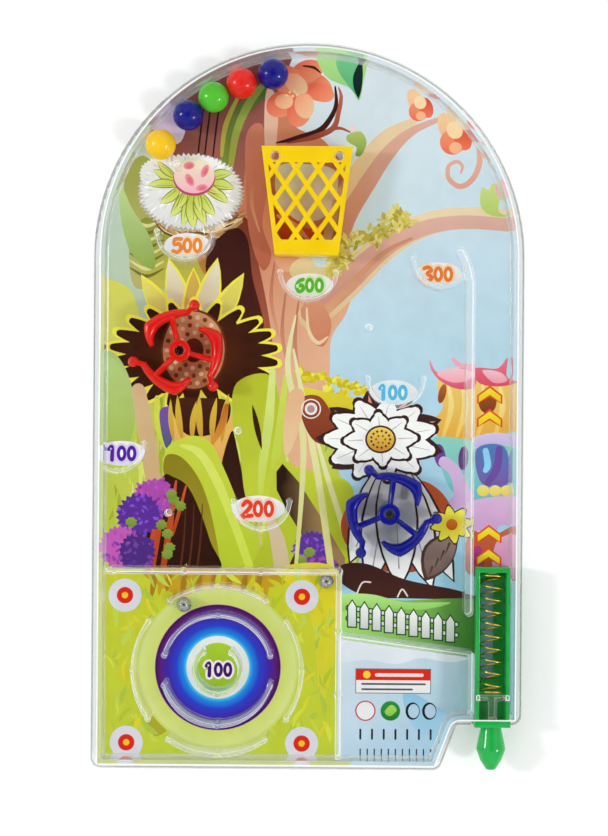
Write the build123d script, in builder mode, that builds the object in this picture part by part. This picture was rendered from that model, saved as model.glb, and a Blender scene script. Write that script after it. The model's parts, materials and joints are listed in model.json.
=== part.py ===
"""Hand-held pinball toy, lying flat on its back.

A shallow clear case with an arched top holds a printed card.  Clear score cups, rails and
pegs hang from the cover over the card.  Two three-armed spinners turn on posts, a basket
catches balls, and a sprung plunger in the lane at the lower right shoots them round the
arch.  Two steel balls run inside the target box at the lower left.

Millimetres.  +X is to the right, +Y towards the arch and +Z out of the front.  The origin
is in the middle of the case's outline, on its back face.
"""

import os
from math import asin, cos, degrees, radians, sin

from build123d import *

os.makedirs("parts", exist_ok=True)

# Case
case_width = 113.4
case_length = 191.4
notch_height = 12.0  # the lower right corner is cut away round the plunger's knob
notch_width = 17.0
notch_foot_width = 21.6
corner_radius = 2.5
floor_thickness = 1.5
rim_width = 2.2  # the back shell's upstanding edge
rim_height = 4.5
rim_gap = 0.1  # between that edge and the cover
cover_thickness = 1.4
wall_thickness = 1.3
edge_radius = 0.5
card_thickness = 0.4
ball_headroom = 1.0  # the cover clears a coloured ball's diameter by this
spring_headroom = 0.9  # and the plunger's spring by this

# Balls
ball_diameter = 8.0
ball_clearance = 0.15
steel_ball_diameter = 4.0
steel_ball_clearance = 0.15
first_ball = "ball_blue_right"
first_ball_angle = 101.6  # round the arch, from +X
next_balls = {  # degrees that each lies short of touching the one before it
    "ball_red": 0.726,
    "ball_green": 0.225,
    "ball_blue_left": 0.226,
    "ball_yellow": 2.925,
}

# Clear ribs under the cover
rib_thickness = 1.2
rib_gap = 0.25  # between a rib's foot and the card
pad_radius = 0.85
cup_radius = 7.25
free_cups = {
    "cup_500": (-32.4, 45.1),
    "cup_600": (-0.3, 34.9),
    "cup_100_right": (22.7, 7.3),
    "cup_200": (-12.0, -24.8),
}
cup_300_from_rail = 7.7
cup_300_from_bend = 7.5
cup_300_end = -36  # this cup runs into the lane rail
cup_100_left_from_wall = 3.3
cup_100_left_y = -10.0
cup_100_left_end = -125  # and this one into the case's wall
peg_radius = 1.05
pegs = [(-34.7, 62.7), (15.6, 20.6), (-18.3, -6.5), (-36.2, -28.0)]
centre_post_place = (0.7, -0.7)
centre_post_radius = 1.3
centre_collar_radius = 2.6
centre_collar_height = 0.6

# Lane, chute and plunger
lane_room = 1.9  # beside a coloured ball
rail_thickness = 2.2
rail_to_plunger = 0.9
rail_foot_rise = 30.4  # heights up from the notch
rail_drop = 8.0  # from the middle of the arch down to the rail's bend
rail_lean = 2.5
rail_lean_height = 9.4
rail_pads_y = [-8.5, -31.3]
rail_pad_radius = 1.35
chute_thickness = 1.4
chute_to_plunger = 0.5
chute_corner_rise = 19.3
chute_fall = 4.3
plunger_to_wall = 0.2
plunger_top_rise = 41.9
plunger_wall = 0.9
plunger_end_wall = 1.2
plunger_floor = 1.0
plunger_lift = 0.3  # above the card
plunger_travel = 22.0
window_width = 3.4
window_margin = 3.0
collar_thickness = 1.7
collar_lip = 0.3  # the collar stands out on each side of the frame
collar_gap = 0.3  # under the cover
collar_inset = 0.4  # the collar's outer face, in from the notch's edge
slot_gap = 0.4  # round the collar in the case's wall
knob_neck_radius = 2.6
knob_radius = 3.85
knob_shoulder_radius = 2.8
knob_tip_radius = 1.25
knob_widest = 6.2  # out from the collar
knob_shoulder = 9.1
knob_length = 11.5
knob_edge_radius = 0.5
spring_diameter = 6.6
spring_wire = 0.5
spring_turns = 11
spring_gap = 0.2
spring_proud = 0.2  # of the frame's top
stop_rise = 9.0
stop_thickness = 1.5
stop_gap = 0.2
stop_flange = 0.8
stem_width = 2.2

# Target box
box_wall = 1.6
box_gap = 0.2  # between the box's walls and the case
box_pads_from_wall = [2.4, 21.0, 41.0]
box_pads_from_target = [10.0, -6.5]
box_pad_radius = 1.1
target_from_side = 29.9
target_from_bottom = 23.2
target_to_box = (31.5, 25.8)  # from the target's centre to the box's walls
outer_arc_radius = 21.9
outer_arc_half_angle = 35
inner_arc_radius = 14.3
inner_arc_half_angle = 74
centre_cup_radius = 5.9
centre_cup_half_gap = 38
ring_ball_angle = 119

# Basket
basket_x = -0.75
basket_top_y = 67.5
basket_bottom_y = 39.3
basket_top_width = 23.8
basket_bottom_width = 16.6
basket_wall = 1.2
basket_net_thickness = 0.8
basket_gap = 0.05  # under the cover
basket_top_band = 4.2
basket_bottom_band = 3.9
strand_half_across = 0.72  # half a slanting strand, measured across the case
strand_half_up = 1.08  # and along it
mesh_width = 5.7
mesh_height = 8.3
pin_spacing = 16.6
pin_y = 65.0
pin_radius = 1.25
pin_clearance = 0.05
pin_length = 1.6

# Spinners
post_radius = 1.25
post_clearance = 0.07
hub_radius = 2.8
hub_gap = 0.3  # to the card and to the cover
blade_height = 5.4
spoke_width = 1.6
spoke_length = 9.4
# A blade's outline, for an arm that points along +Y
blade_crest = [(5.0, 9.9), (0.4, 10.9), (-7.2, 9.2)]
blade_hook = [(-7.9, 6.1), (-7.3, 2.9)]
blade_point = (-6.3, 3.2)
blade_throat = [(-5.6, 5.6), (-4.1, 7.2)]
blade_belly = [(0.2, 8.5), (4.4, 8.4)]
tip_neck_start = (4.2, 9.2)
tip_neck_width = 1.4
tip_ball_radius = 1.4
tip_ball_place = (6.6, 10.7)
spinners = {
    "red_spinner": (-33.6, 14.2, 105, 1),
    "blue_spinner": (21.3, -28.0, 83, -1),
}

# Worked out from the sizes above
right = case_width / 2
left = -right
top = case_length / 2
bottom = -top
arch_y = top - case_width / 2
notch_y = bottom + notch_height
cover_inset = rim_width + rim_gap
inner_inset = cover_inset + wall_thickness
inner_right = right - inner_inset
inner_left = -inner_right
inner_bottom = bottom + inner_inset
card_top = floor_thickness + card_thickness
frame_low = card_top + plunger_lift
spring_low = frame_low + plunger_floor + spring_gap
field_depth = max(
    ball_diameter + ball_headroom,
    spring_low + spring_diameter + spring_headroom - card_top,
)
cover_inside = card_top + field_depth
cover_top = cover_inside + cover_thickness
rib_foot = card_top + rib_gap

plunger_width = spring_diameter + 2 * (spring_gap + plunger_wall)
plunger_x = inner_right - plunger_to_wall - plunger_width / 2
plunger_left = plunger_x - plunger_width / 2
plunger_top_y = notch_y + plunger_top_rise
collar_width = plunger_width + 2 * collar_lip
lane_width = max(
    ball_diameter + lane_room, plunger_width + plunger_to_wall + rail_to_plunger
)
rail_x = inner_right - lane_width - rail_thickness / 2
rail_foot_y = notch_y + rail_foot_rise
rail_bend_y = arch_y - rail_drop
rail_top = (rail_x - rail_lean, rail_bend_y + rail_lean_height)
chute_corner = (
    plunger_left - chute_to_plunger - chute_thickness / 2,
    notch_y + chute_corner_rise,
)
chute_start_y = chute_corner[1] + chute_fall
stop_y = notch_y + stop_rise
target = (inner_left + target_from_side, inner_bottom + target_from_bottom)
box_wall_x = target[0] + target_to_box[0]
box_wall_y = target[1] + target_to_box[1]
cups = free_cups | {
    "cup_300": (rail_x - cup_300_from_rail, rail_bend_y + cup_300_from_bend),
    "cup_100_left": (inner_left + cup_100_left_from_wall, cup_100_left_y),
}


def case_outline(inset):
    """The case's outline, drawn in by the given distance all round."""
    foot = (right - notch_foot_width, bottom)
    step = (right - notch_width, notch_y)
    with BuildSketch() as outline:
        with BuildLine():
            sides = Polyline(
                (left, arch_y),
                (left, bottom),
                foot,
                step,
                (right, notch_y),
                (right, arch_y),
            )
            RadiusArc(sides @ 1, sides @ 0, -case_width / 2)
        make_face()
        if inset:
            offset(amount=-inset, kind=Kind.INTERSECTION)
        for corner in [(left, bottom), foot, (right, notch_y)]:
            nearest = outline.vertices().sort_by_distance(corner)[0]
            fillet(nearest, max(corner_radius - inset, edge_radius))
        fillet(outline.vertices().sort_by_distance(step)[0], edge_radius + inset)
    return outline.sketch


def save(part, label):
    """Name a finished piece and write it."""
    part.label = label
    export_step(part, f"parts/{label}.step")


# The plunger's way out through the case's wall
slot_width = collar_width + 2 * slot_gap
slot_y = notch_y + inner_inset / 2
slot_length = inner_inset + 2 * edge_radius

with BuildPart() as back_shell:
    with BuildSketch():
        add(case_outline(0))
    extrude(amount=rim_height)
    with BuildSketch(Plane.XY.offset(floor_thickness)):
        add(case_outline(rim_width))
    extrude(amount=rim_height, mode=Mode.SUBTRACT)
    with BuildSketch(Plane.XY.offset(floor_thickness)):
        with Locations((plunger_x, slot_y)):
            Rectangle(slot_width, slot_length)
    extrude(amount=rim_height, mode=Mode.SUBTRACT)
    back_edges = back_shell.faces().sort_by(Axis.Z)[0].outer_wire().edges()
    fillet(back_edges, edge_radius)
save(back_shell.part, "back_shell")

with BuildPart() as printed_card:
    with BuildSketch(Plane.XY.offset(floor_thickness)):
        add(case_outline(cover_inset))
    extrude(amount=card_thickness)
save(printed_card.part, "printed_card")

with BuildPart() as front_cover:
    with BuildSketch(Plane.XY.offset(card_top)):
        add(case_outline(cover_inset))
    extrude(amount=field_depth + cover_thickness)
    with BuildSketch(Plane.XY.offset(card_top)):
        add(case_outline(inner_inset))
    extrude(amount=field_depth, mode=Mode.SUBTRACT)
    with BuildSketch(Plane.XY.offset(card_top)):
        with Locations((plunger_x, slot_y)):
            Rectangle(slot_width, slot_length)
    extrude(amount=field_depth, mode=Mode.SUBTRACT)
    front_edges = front_cover.faces().sort_by(Axis.Z)[-1].outer_wire().edges()
    fillet(front_edges, edge_radius)
save(front_cover.part, "front_cover")


def rib_sketch(wire, thickness, pads, radius):
    """A rib drawn along a wire, with round pads at the given places."""
    with BuildSketch() as rib:
        SlotArc(wire, thickness)
        with Locations(*pads):
            Circle(radius)
    return rib.sketch


def extrude_rib(*sketches):
    """Hang rib sketches from the inside of the cover, with their feet just off the card."""
    with BuildPart() as rib:
        with BuildSketch(Plane.XY.offset(rib_foot)):
            add(sketches)
        extrude(amount=cover_inside - rib_foot)
    return rib.part


def around(centre, radius, angle):
    """A place at an angle round a centre."""
    return (
        centre[0] + radius * cos(radians(angle)),
        centre[1] + radius * sin(radians(angle)),
    )


def arc_rib(centre, radius, start, end, pad_angles):
    """The sketch of one rib bent round a centre, with pads at the given angles."""
    with BuildLine() as path:
        CenterArc(centre, radius, start, end - start)
    pads = [around(centre, radius, angle) for angle in pad_angles]
    return rib_sketch(path.wire(), rib_thickness, pads, pad_radius)


# The lane rail leans in at its top, and ends above the chute
with BuildLine() as rail_path:
    rail_line = Line((rail_x, rail_foot_y), (rail_x, rail_bend_y))
    TangentArc(rail_line @ 1, rail_top, tangent=rail_line % 1)
rail_pads = [(rail_x, y) for y in rail_pads_y]
lane_rail = extrude_rib(
    rib_sketch(rail_path.wire(), rail_thickness, rail_pads, rail_pad_radius)
)
save(lane_rail, "lane_rail")

for cup_name, cup_place in cups.items():
    cup_start = cup_100_left_end if cup_name == "cup_100_left" else -180
    cup_end = cup_300_end if cup_name == "cup_300" else 0
    cup_pads = [angle for angle in (-180, -90, 0) if cup_start <= angle <= cup_end]
    with BuildPart() as cup:
        add(
            extrude_rib(arc_rib(cup_place, cup_radius, cup_start, cup_end, cup_pads))
        )
        if cup_name == "cup_300":
            add(lane_rail, mode=Mode.SUBTRACT)
        if cup_name == "cup_100_left":
            split(bisect_by=Plane.YZ.offset(inner_left), keep=Keep.TOP)
    save(cup.part, cup_name)

with BuildPart() as field_pegs:
    with BuildSketch(Plane.XY.offset(rib_foot)):
        with Locations(*pegs):
            Circle(peg_radius)
    extrude(amount=cover_inside - rib_foot)
save(field_pegs.part, "field_pegs")

with BuildPart() as centre_post:
    with BuildSketch(Plane.XY.offset(rib_foot)):
        with Locations(centre_post_place):
            Circle(centre_post_radius)
    extrude(amount=cover_inside - rib_foot)
    with BuildSketch(Plane.XY.offset(cover_inside)):
        with Locations(centre_post_place):
            Circle(centre_collar_radius)
    extrude(amount=-centre_collar_height)
save(centre_post.part, "centre_post")

# The chute slopes from the target box to the lane, then drops to the case's wall beside the plunger
with BuildLine() as chute_path:
    Polyline(
        (box_wall_x + box_wall / 2 + chute_thickness / 2 + box_gap, chute_start_y),
        chute_corner,
        (chute_corner[0], notch_y + inner_inset + chute_thickness / 2 + box_gap),
    )
chute_wall = extrude_rib(
    rib_sketch(chute_path.wire(), chute_thickness, [chute_corner], chute_thickness / 2)
)
save(chute_wall, "chute_wall")

# Target box: two walls, two rings of arcs and a cup in the middle
with BuildLine() as box_path:
    Polyline(
        (inner_left + box_gap + box_wall / 2, box_wall_y),
        (box_wall_x, box_wall_y),
        (box_wall_x, inner_bottom + box_gap + box_wall / 2),
    )
box_pads = [(inner_left + along, box_wall_y) for along in box_pads_from_wall]
box_pads += [(box_wall_x, target[1] + up) for up in box_pads_from_target]
box_pads += [(box_wall_x, box_wall_y)]
target_box_wall = extrude_rib(
    rib_sketch(box_path.wire(), box_wall, box_pads, box_pad_radius)
)
save(target_box_wall, "target_box_wall")


def ring_of_arcs(radius, half_angle, middles):
    """Arcs round the target, one about each middle angle, padded at both ends and the middle."""
    return extrude_rib(
        *[
            arc_rib(
                target,
                radius,
                middle - half_angle,
                middle + half_angle,
                [middle - half_angle, middle, middle + half_angle],
            )
            for middle in middles
        ]
    )


target_outer_arcs = ring_of_arcs(
    outer_arc_radius, outer_arc_half_angle, [0, 90, 180, 270]
)
save(target_outer_arcs, "target_outer_arcs")
target_inner_arcs = ring_of_arcs(inner_arc_radius, inner_arc_half_angle, [90, 270])
save(target_inner_arcs, "target_inner_arcs")
cup_from, cup_to = 90 + centre_cup_half_gap, 450 - centre_cup_half_gap
target_centre_cup = extrude_rib(
    arc_rib(target, centre_cup_radius, cup_from, cup_to, [cup_from, 270, cup_to])
)
save(target_centre_cup, "target_centre_cup")

# Plunger: an open green frame round the spring, a collar that fills the slot, and a knob outside
plunger_height = plunger_floor + spring_gap + spring_diameter - spring_proud
collar_height = cover_inside - collar_gap - frame_low
collar_out = notch_y + collar_inset
collar_in = collar_out + collar_thickness
plunger_length = plunger_top_y - collar_in
well_width = plunger_width - 2 * plunger_wall
well_top_y = plunger_top_y - plunger_end_wall
spring_z = spring_low + spring_diameter / 2
knob_z = frame_low + collar_height / 2

with BuildPart() as plunger:
    with BuildSketch(Plane.XY.offset(frame_low)):
        with Locations((plunger_x, plunger_top_y)):
            Rectangle(plunger_width, plunger_length, align=(Align.CENTER, Align.MAX))
    extrude(amount=plunger_height)
    with BuildSketch(Plane.XY.offset(frame_low + plunger_floor)):
        with Locations((plunger_x, well_top_y)):
            Rectangle(well_width, plunger_length, align=(Align.CENTER, Align.MAX))
    extrude(amount=plunger_height, mode=Mode.SUBTRACT)
    window_length = well_top_y - window_margin - (stop_y + window_margin)
    with BuildSketch(Plane.XY.offset(frame_low)):
        with Locations((plunger_x - well_width / 2 + plunger_wall, well_top_y - window_margin)):
            Rectangle(window_width, window_length, align=(Align.MIN, Align.MAX))
    extrude(amount=plunger_floor, mode=Mode.SUBTRACT)
    with BuildSketch(Plane.XY.offset(frame_low)):
        with Locations((plunger_x, collar_out)):
            Rectangle(collar_width, collar_thickness, align=(Align.CENTER, Align.MIN))
    extrude(amount=collar_height)
    with BuildSketch(Plane.XY.offset(knob_z)):
        with BuildLine():
            Polyline(
                (plunger_x, collar_out),
                (plunger_x + knob_neck_radius, collar_out),
                (plunger_x + knob_radius, collar_out - knob_widest),
                (plunger_x + knob_shoulder_radius, collar_out - knob_shoulder),
                (plunger_x + knob_tip_radius, collar_out - knob_length),
                (plunger_x, collar_out - knob_length),
                close=True,
            )
        make_face()
    revolve(axis=Axis((plunger_x, 0, knob_z), (0, 1, 0)))
save(plunger.part, "plunger")

with BuildPart() as plunger_spring:
    with BuildSketch(Plane.XZ.offset(-(well_top_y - spring_gap))):
        with Locations((plunger_x, spring_z)):
            Circle(spring_diameter / 2)
            Circle(spring_diameter / 2 - spring_wire, mode=Mode.SUBTRACT)
    extrude(amount=well_top_y - stop_y - 2 * spring_gap)
save(plunger_spring.part, "plunger_spring")

# The spring's stop hangs between the frame's walls, and its stem meets the collar
with BuildPart() as spring_stop:
    stop_low = frame_low + plunger_floor + stop_gap
    with BuildSketch(Plane.XY.offset(stop_low)):
        with Locations((plunger_x, stop_y)):
            Rectangle(
                well_width - 2 * stop_gap, stop_thickness, align=(Align.CENTER, Align.MAX)
            )
            Rectangle(
                stem_width, stop_y - collar_in - stop_gap, align=(Align.CENTER, Align.MAX)
            )
    extrude(amount=cover_inside - stop_low)
    with BuildSketch(Plane.XY.offset(cover_inside)):
        with Locations((plunger_x, stop_y)):
            Rectangle(plunger_width, stop_thickness, align=(Align.CENTER, Align.MAX))
    extrude(amount=-stop_flange)
save(spring_stop.part, "spring_stop")


# Basket: a net panel under the cover, on two slanted sides and a bottom
def basket_half_width(y, inset):
    """Half the basket's width at a height up the case, in by the given distance."""
    share = (y - basket_bottom_y) / (basket_top_y - basket_bottom_y)
    width = basket_bottom_width + share * (basket_top_width - basket_bottom_width)
    return width / 2 - inset


def basket_panel(low, high, inset):
    """The corners of the part of the tapered panel between two heights."""
    return [
        (basket_x - basket_half_width(low, inset), low),
        (basket_x + basket_half_width(low, inset), low),
        (basket_x + basket_half_width(high, inset), high),
        (basket_x - basket_half_width(high, inset), high),
    ]


net_top = cover_inside - basket_gap
net_low = net_top - basket_net_thickness
lattice_low = basket_bottom_y + basket_bottom_band
lattice_high = basket_top_y - basket_top_band
pin_places = [(basket_x + side * pin_spacing / 2, pin_y) for side in (-1, 1)]

with BuildSketch() as net_windows:
    window = [
        (-mesh_width / 2 + strand_half_across, 0),
        (0, mesh_height / 2 - strand_half_up),
        (mesh_width / 2 - strand_half_across, 0),
        (0, -mesh_height / 2 + strand_half_up),
    ]
    lattice_middle = (lattice_low + lattice_high) / 2
    with Locations((basket_x, lattice_middle)):
        with GridLocations(mesh_width, mesh_height, 5, 3):
            Polygon(*window, align=None)
        with GridLocations(mesh_width, mesh_height, 4, 4):
            Polygon(*window, align=None)
    Polygon(
        *basket_panel(lattice_low, lattice_high, basket_wall),
        align=None,
        mode=Mode.INTERSECT,
    )

with BuildPart() as basket_net:
    with BuildSketch(Plane.XY.offset(net_low)):
        Polygon(*basket_panel(basket_bottom_y, basket_top_y, 0), align=None)
        add(net_windows.sketch, mode=Mode.SUBTRACT)
        with Locations(*pin_places):
            Circle(pin_radius + pin_clearance, mode=Mode.SUBTRACT)
    extrude(amount=basket_net_thickness)
save(basket_net.part, "basket_net")

with BuildPart() as basket_sides:
    inside_y = basket_bottom_y + basket_wall
    with BuildSketch(Plane.XY.offset(rib_foot)):
        Polygon(*basket_panel(basket_bottom_y, basket_top_y, 0), align=None)
        Polygon(
            *basket_panel(inside_y, basket_top_y + basket_wall, basket_wall),
            align=None,
            mode=Mode.SUBTRACT,
        )
    extrude(amount=net_low - rib_foot)
save(basket_sides.part, "basket_sides")

with BuildPart() as basket_pins:
    with BuildSketch(Plane.XY.offset(cover_inside)):
        with Locations(*pin_places):
            Circle(pin_radius)
    extrude(amount=-pin_length)
save(basket_pins.part, "basket_pins")

# Spinners
hub_low = card_top + hub_gap
hub_top = cover_inside - hub_gap
blade_low = (hub_low + hub_top - blade_height) / 2


def spinner_arm(hand):
    """One arm pointing along +Y: a spoke and a hooked blade with a round tip on one side."""
    tip_x, tip_y = tip_ball_place
    with BuildSketch() as arm:
        with Locations((0, spoke_length / 2)):
            Rectangle(spoke_width, spoke_length)
        with BuildLine():
            crest = ThreePointArc(*blade_crest)
            hook = ThreePointArc(crest @ 1, *blade_hook)
            point = Line(hook @ 1, blade_point)
            throat = ThreePointArc(point @ 1, *blade_throat)
            belly = ThreePointArc(throat @ 1, *blade_belly)
            Line(belly @ 1, crest @ 0)
        make_face()
        with BuildLine():
            neck = Line(tip_neck_start, (tip_x, tip_y))
        with Locations(neck @ 0.5):
            Rectangle(neck.length, tip_neck_width, rotation=neck.tangent_angle_at(0))
        with Locations((tip_x, tip_y)):
            Circle(tip_ball_radius)
    return arm.sketch if hand > 0 else mirror(arm.sketch, about=Plane.YZ, mode=Mode.PRIVATE)


for name, (hub_x, hub_y, spoke_angle, hand) in spinners.items():
    arm = spinner_arm(hand)
    with BuildPart() as spinner:
        with BuildSketch(Plane.XY.offset(blade_low)):
            with Locations((hub_x, hub_y)):
                with PolarLocations(0, 3, start_angle=spoke_angle - 90):
                    add(arm)
        extrude(amount=blade_height)
        with BuildSketch(Plane.XY.offset(hub_low)):
            with Locations((hub_x, hub_y)):
                Circle(hub_radius)
        extrude(amount=hub_top - hub_low)
        with BuildSketch(Plane.XY.offset(hub_low)):
            with Locations((hub_x, hub_y)):
                Circle(post_radius + post_clearance)
        extrude(amount=hub_top - hub_low, mode=Mode.SUBTRACT)
    save(spinner.part, name)

    with BuildPart() as post:
        with BuildSketch(Plane.XY.offset(rib_foot)):
            with Locations((hub_x, hub_y)):
                Circle(post_radius)
        extrude(amount=cover_inside - rib_foot)
    save(post.part, f"{name}_post")

# Balls
ball_radius = ball_diameter / 2
steel_radius = steel_ball_diameter / 2
ball_track = inner_right - ball_clearance - ball_radius
ball_z = card_top + ball_clearance + ball_radius
steel_z = card_top + steel_ball_clearance + steel_radius
steel_room = steel_ball_clearance + steel_radius
ring_track = outer_arc_radius - pad_radius - steel_room
corner_ball = (
    box_wall_x - box_pad_radius - steel_room,
    box_wall_y - box_wall / 2 - steel_room,
)


def ball(label, place, z, radius):
    with BuildPart() as sphere:
        with Locations((*place, z)):
            Sphere(radius)
    save(sphere.part, label)


touching_angle = 2 * degrees(asin(ball_radius / ball_track))
ball_angles = {first_ball: first_ball_angle}
for ball_name, gap_angle in next_balls.items():
    ball_angles[ball_name] = max(ball_angles.values()) + touching_angle + gap_angle
for ball_name, ball_angle in ball_angles.items():
    ball(ball_name, around((0, arch_y), ball_track, ball_angle), ball_z, ball_radius)
ball("steel_ball_ring", around(target, ring_track, ring_ball_angle), steel_z, steel_radius)
ball("steel_ball_corner", corner_ball, steel_z, steel_radius)

# How far things travel
corner_ball_travel = corner_ball[1] - inner_bottom - steel_room
spring_left = well_top_y - plunger_travel - stop_y
print(f"corner ball travels {corner_ball_travel:.2f}")
spring_stacked = spring_turns * spring_wire
print(f"spring room at full pull {spring_left:.2f}, its turns stacked {spring_stacked:.2f}")
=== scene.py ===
"""Looks for the hand-held pinball toy: a clear moulded case over a printed card.

Metres, in the CAD model's frame: +X right, +Y towards the arch, +Z out of the front.
The card's art is drawn in millimetres on its face, and scaled once when its mesh is made.
"""

import json
import math
import random

import bmesh
import bpy
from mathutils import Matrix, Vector
from mathutils.geometry import delaunay_2d_cdt

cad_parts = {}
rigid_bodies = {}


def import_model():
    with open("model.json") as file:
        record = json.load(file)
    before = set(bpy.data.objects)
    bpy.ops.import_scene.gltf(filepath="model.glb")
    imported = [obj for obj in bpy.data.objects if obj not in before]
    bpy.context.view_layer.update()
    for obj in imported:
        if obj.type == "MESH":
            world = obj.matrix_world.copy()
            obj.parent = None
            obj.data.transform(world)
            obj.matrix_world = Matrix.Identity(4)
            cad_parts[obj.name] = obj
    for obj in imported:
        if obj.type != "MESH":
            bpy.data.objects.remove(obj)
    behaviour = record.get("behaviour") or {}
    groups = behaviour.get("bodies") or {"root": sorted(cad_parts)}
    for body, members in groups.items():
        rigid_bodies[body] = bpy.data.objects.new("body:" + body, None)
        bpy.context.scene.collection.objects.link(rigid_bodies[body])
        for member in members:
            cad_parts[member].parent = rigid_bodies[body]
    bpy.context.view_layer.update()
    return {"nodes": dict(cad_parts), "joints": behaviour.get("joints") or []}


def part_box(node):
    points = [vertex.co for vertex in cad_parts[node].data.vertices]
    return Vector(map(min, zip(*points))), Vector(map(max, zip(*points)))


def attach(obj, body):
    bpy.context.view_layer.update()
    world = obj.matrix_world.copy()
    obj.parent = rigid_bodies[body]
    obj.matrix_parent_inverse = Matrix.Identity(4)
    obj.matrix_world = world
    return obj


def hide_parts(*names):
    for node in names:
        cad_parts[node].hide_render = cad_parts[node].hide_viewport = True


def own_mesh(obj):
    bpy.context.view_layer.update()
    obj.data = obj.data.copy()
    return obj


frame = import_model()
nodes = frame["nodes"]

MM = 0.001
SAME = 1e-6


def pairs(loop):
    """Each corner of a closed line, with the next one."""
    return zip(loop, [*loop[1:], loop[0]])


def polar(x, y, rx, ry, angle):
    """The place on an oval at an angle."""
    return x + rx * math.cos(angle), y + ry * math.sin(angle)


def joint(name):
    """A joint of the CAD model."""
    return next(j for j in frame["joints"] if j["name"] == name)


# ---------------------------------------------------------------- camera, light and floor

CAMERA_LENS = 106.93421
CAMERA_PLACE = (-0.0011, -0.0031, 0.480)
CAMERA_ROLL = math.radians(0.42)
LAMP_SIZE = 0.15
LAMP_DISTANCE = 1.2
SKY_STRENGTH = 1.12
# how bright the sky is at a share of the height: pale walls and a dark ceiling,
# so that the flat cover has little to reflect
SKY_LOW = (0.62, 0.63, 0.64)
SKY_HIGH = (0.01, 0.01, 0.011)
SKY_BANDS = ((0.75, 0.86), (0.93, 0.6), (0.97, 0.02))

scene = bpy.context.scene
scene.view_settings.view_transform = "Standard"
scene.cycles.transmission_bounces = 24
scene.cycles.transparent_max_bounces = 32
scene.cycles.max_bounces = 28

camera_data = bpy.data.cameras.new("camera")
camera_data.sensor_fit = "HORIZONTAL"
camera_data.sensor_width = 36
camera_data.lens = CAMERA_LENS
camera_data.clip_start = 0.01
camera = bpy.data.objects.new("camera", camera_data)
camera.location = CAMERA_PLACE
camera.rotation_euler = (0, 0, CAMERA_ROLL)
scene.collection.objects.link(camera)
scene.camera = camera


def soft_box(name, direction, power):
    """A square lamp in a direction from the object, facing it."""
    data = bpy.data.lights.new(name, "AREA")
    data.shape = "SQUARE"
    data.size = LAMP_SIZE
    data.energy = power
    lamp = bpy.data.objects.new(name, data)
    place = Vector(direction).normalized() * LAMP_DISTANCE
    lamp.location = place
    lamp.rotation_euler = place.to_track_quat("Z", "Y").to_euler()
    scene.collection.objects.link(lamp)


soft_box("left_box", (-0.80, 0.09, 0.59), 4.6)
soft_box("right_box", (0.72, -0.31, 0.62), 4.2)

world = bpy.data.worlds.new("studio")
scene.world = world
world.use_nodes = True
sky = world.node_tree.nodes
to_sky = world.node_tree.links
direction = sky.new("ShaderNodeTexCoord")
height = sky.new("ShaderNodeSeparateXYZ")
band = sky.new("ShaderNodeValToRGB")
to_sky.new(direction.outputs["Generated"], height.inputs["Vector"])
to_sky.new(height.outputs["Z"], band.inputs["Fac"])
to_sky.new(band.outputs["Color"], sky["Background"].inputs["Color"])
band.color_ramp.elements[0].color = (*SKY_LOW, 1)
band.color_ramp.elements[1].color = (*SKY_HIGH, 1)
for share, tone in SKY_BANDS:
    band.color_ramp.elements.new(share).color = (tone, tone, tone, 1)
sky["Background"].inputs["Strength"].default_value = SKY_STRENGTH

# ---------------------------------------------------------------- materials


def srgb(code):
    """A linear colour from a web colour code."""
    parts = [int(code[i : i + 2], 16) / 255 for i in (1, 3, 5)]
    return tuple(p / 12.92 if p < 0.04045 else ((p + 0.055) / 1.055) ** 2.4 for p in parts)


class Nodes:
    """A new node material, with short calls to add nodes and link them."""

    def __init__(self, name):
        self.material = bpy.data.materials.new(name)
        self.material.use_nodes = True
        self.tree = self.material.node_tree
        self.shader = self.tree.nodes["Principled BSDF"]
        self.output = self.tree.nodes["Material Output"]

    def add(self, kind, **settings):
        node = self.tree.nodes.new(kind)
        for key, value in settings.items():
            setattr(node, key, value)
        return node

    def link(self, source, target):
        self.tree.links.new(source, target)

    def put(self, **values):
        """Constants on the shader's own sockets."""
        for key, value in values.items():
            self.shader.inputs[key.replace("_", " ")].default_value = value

    def noise(self, scale, detail=3.0):
        """Noise over the piece: the scale is in grains to the metre."""
        node = self.add("ShaderNodeTexNoise")
        node.inputs["Scale"].default_value = scale
        node.inputs["Detail"].default_value = detail
        self.link(self.add("ShaderNodeTexCoord").outputs["Object"], node.inputs["Vector"])
        return node.outputs["Fac"]

    def ramp(self, value, low, high, start=0.0, end=1.0):
        """A 0 to 1 value taken to a colour between two."""
        node = self.add("ShaderNodeValToRGB")
        for end_of_ramp, colour, position in zip(node.color_ramp.elements, (low, high), (start, end)):
            end_of_ramp.color = (*colour, 1)
            end_of_ramp.position = position
        self.link(value, node.inputs["Fac"])
        return node.outputs["Color"]

    def spread(self, value, low, high):
        """A 0 to 1 value taken to a range."""
        node = self.add("ShaderNodeMapRange")
        node.inputs["To Min"].default_value = low
        node.inputs["To Max"].default_value = high
        self.link(value, node.inputs["Value"])
        return node.outputs["Result"]

    def bump(self, height, strength, distance):
        """Fine relief in the surface's shading."""
        node = self.add("ShaderNodeBump")
        node.inputs["Strength"].default_value = strength
        node.inputs["Distance"].default_value = distance
        self.link(height, node.inputs["Height"])
        self.link(node.outputs["Normal"], self.shader.inputs["Normal"])


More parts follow.
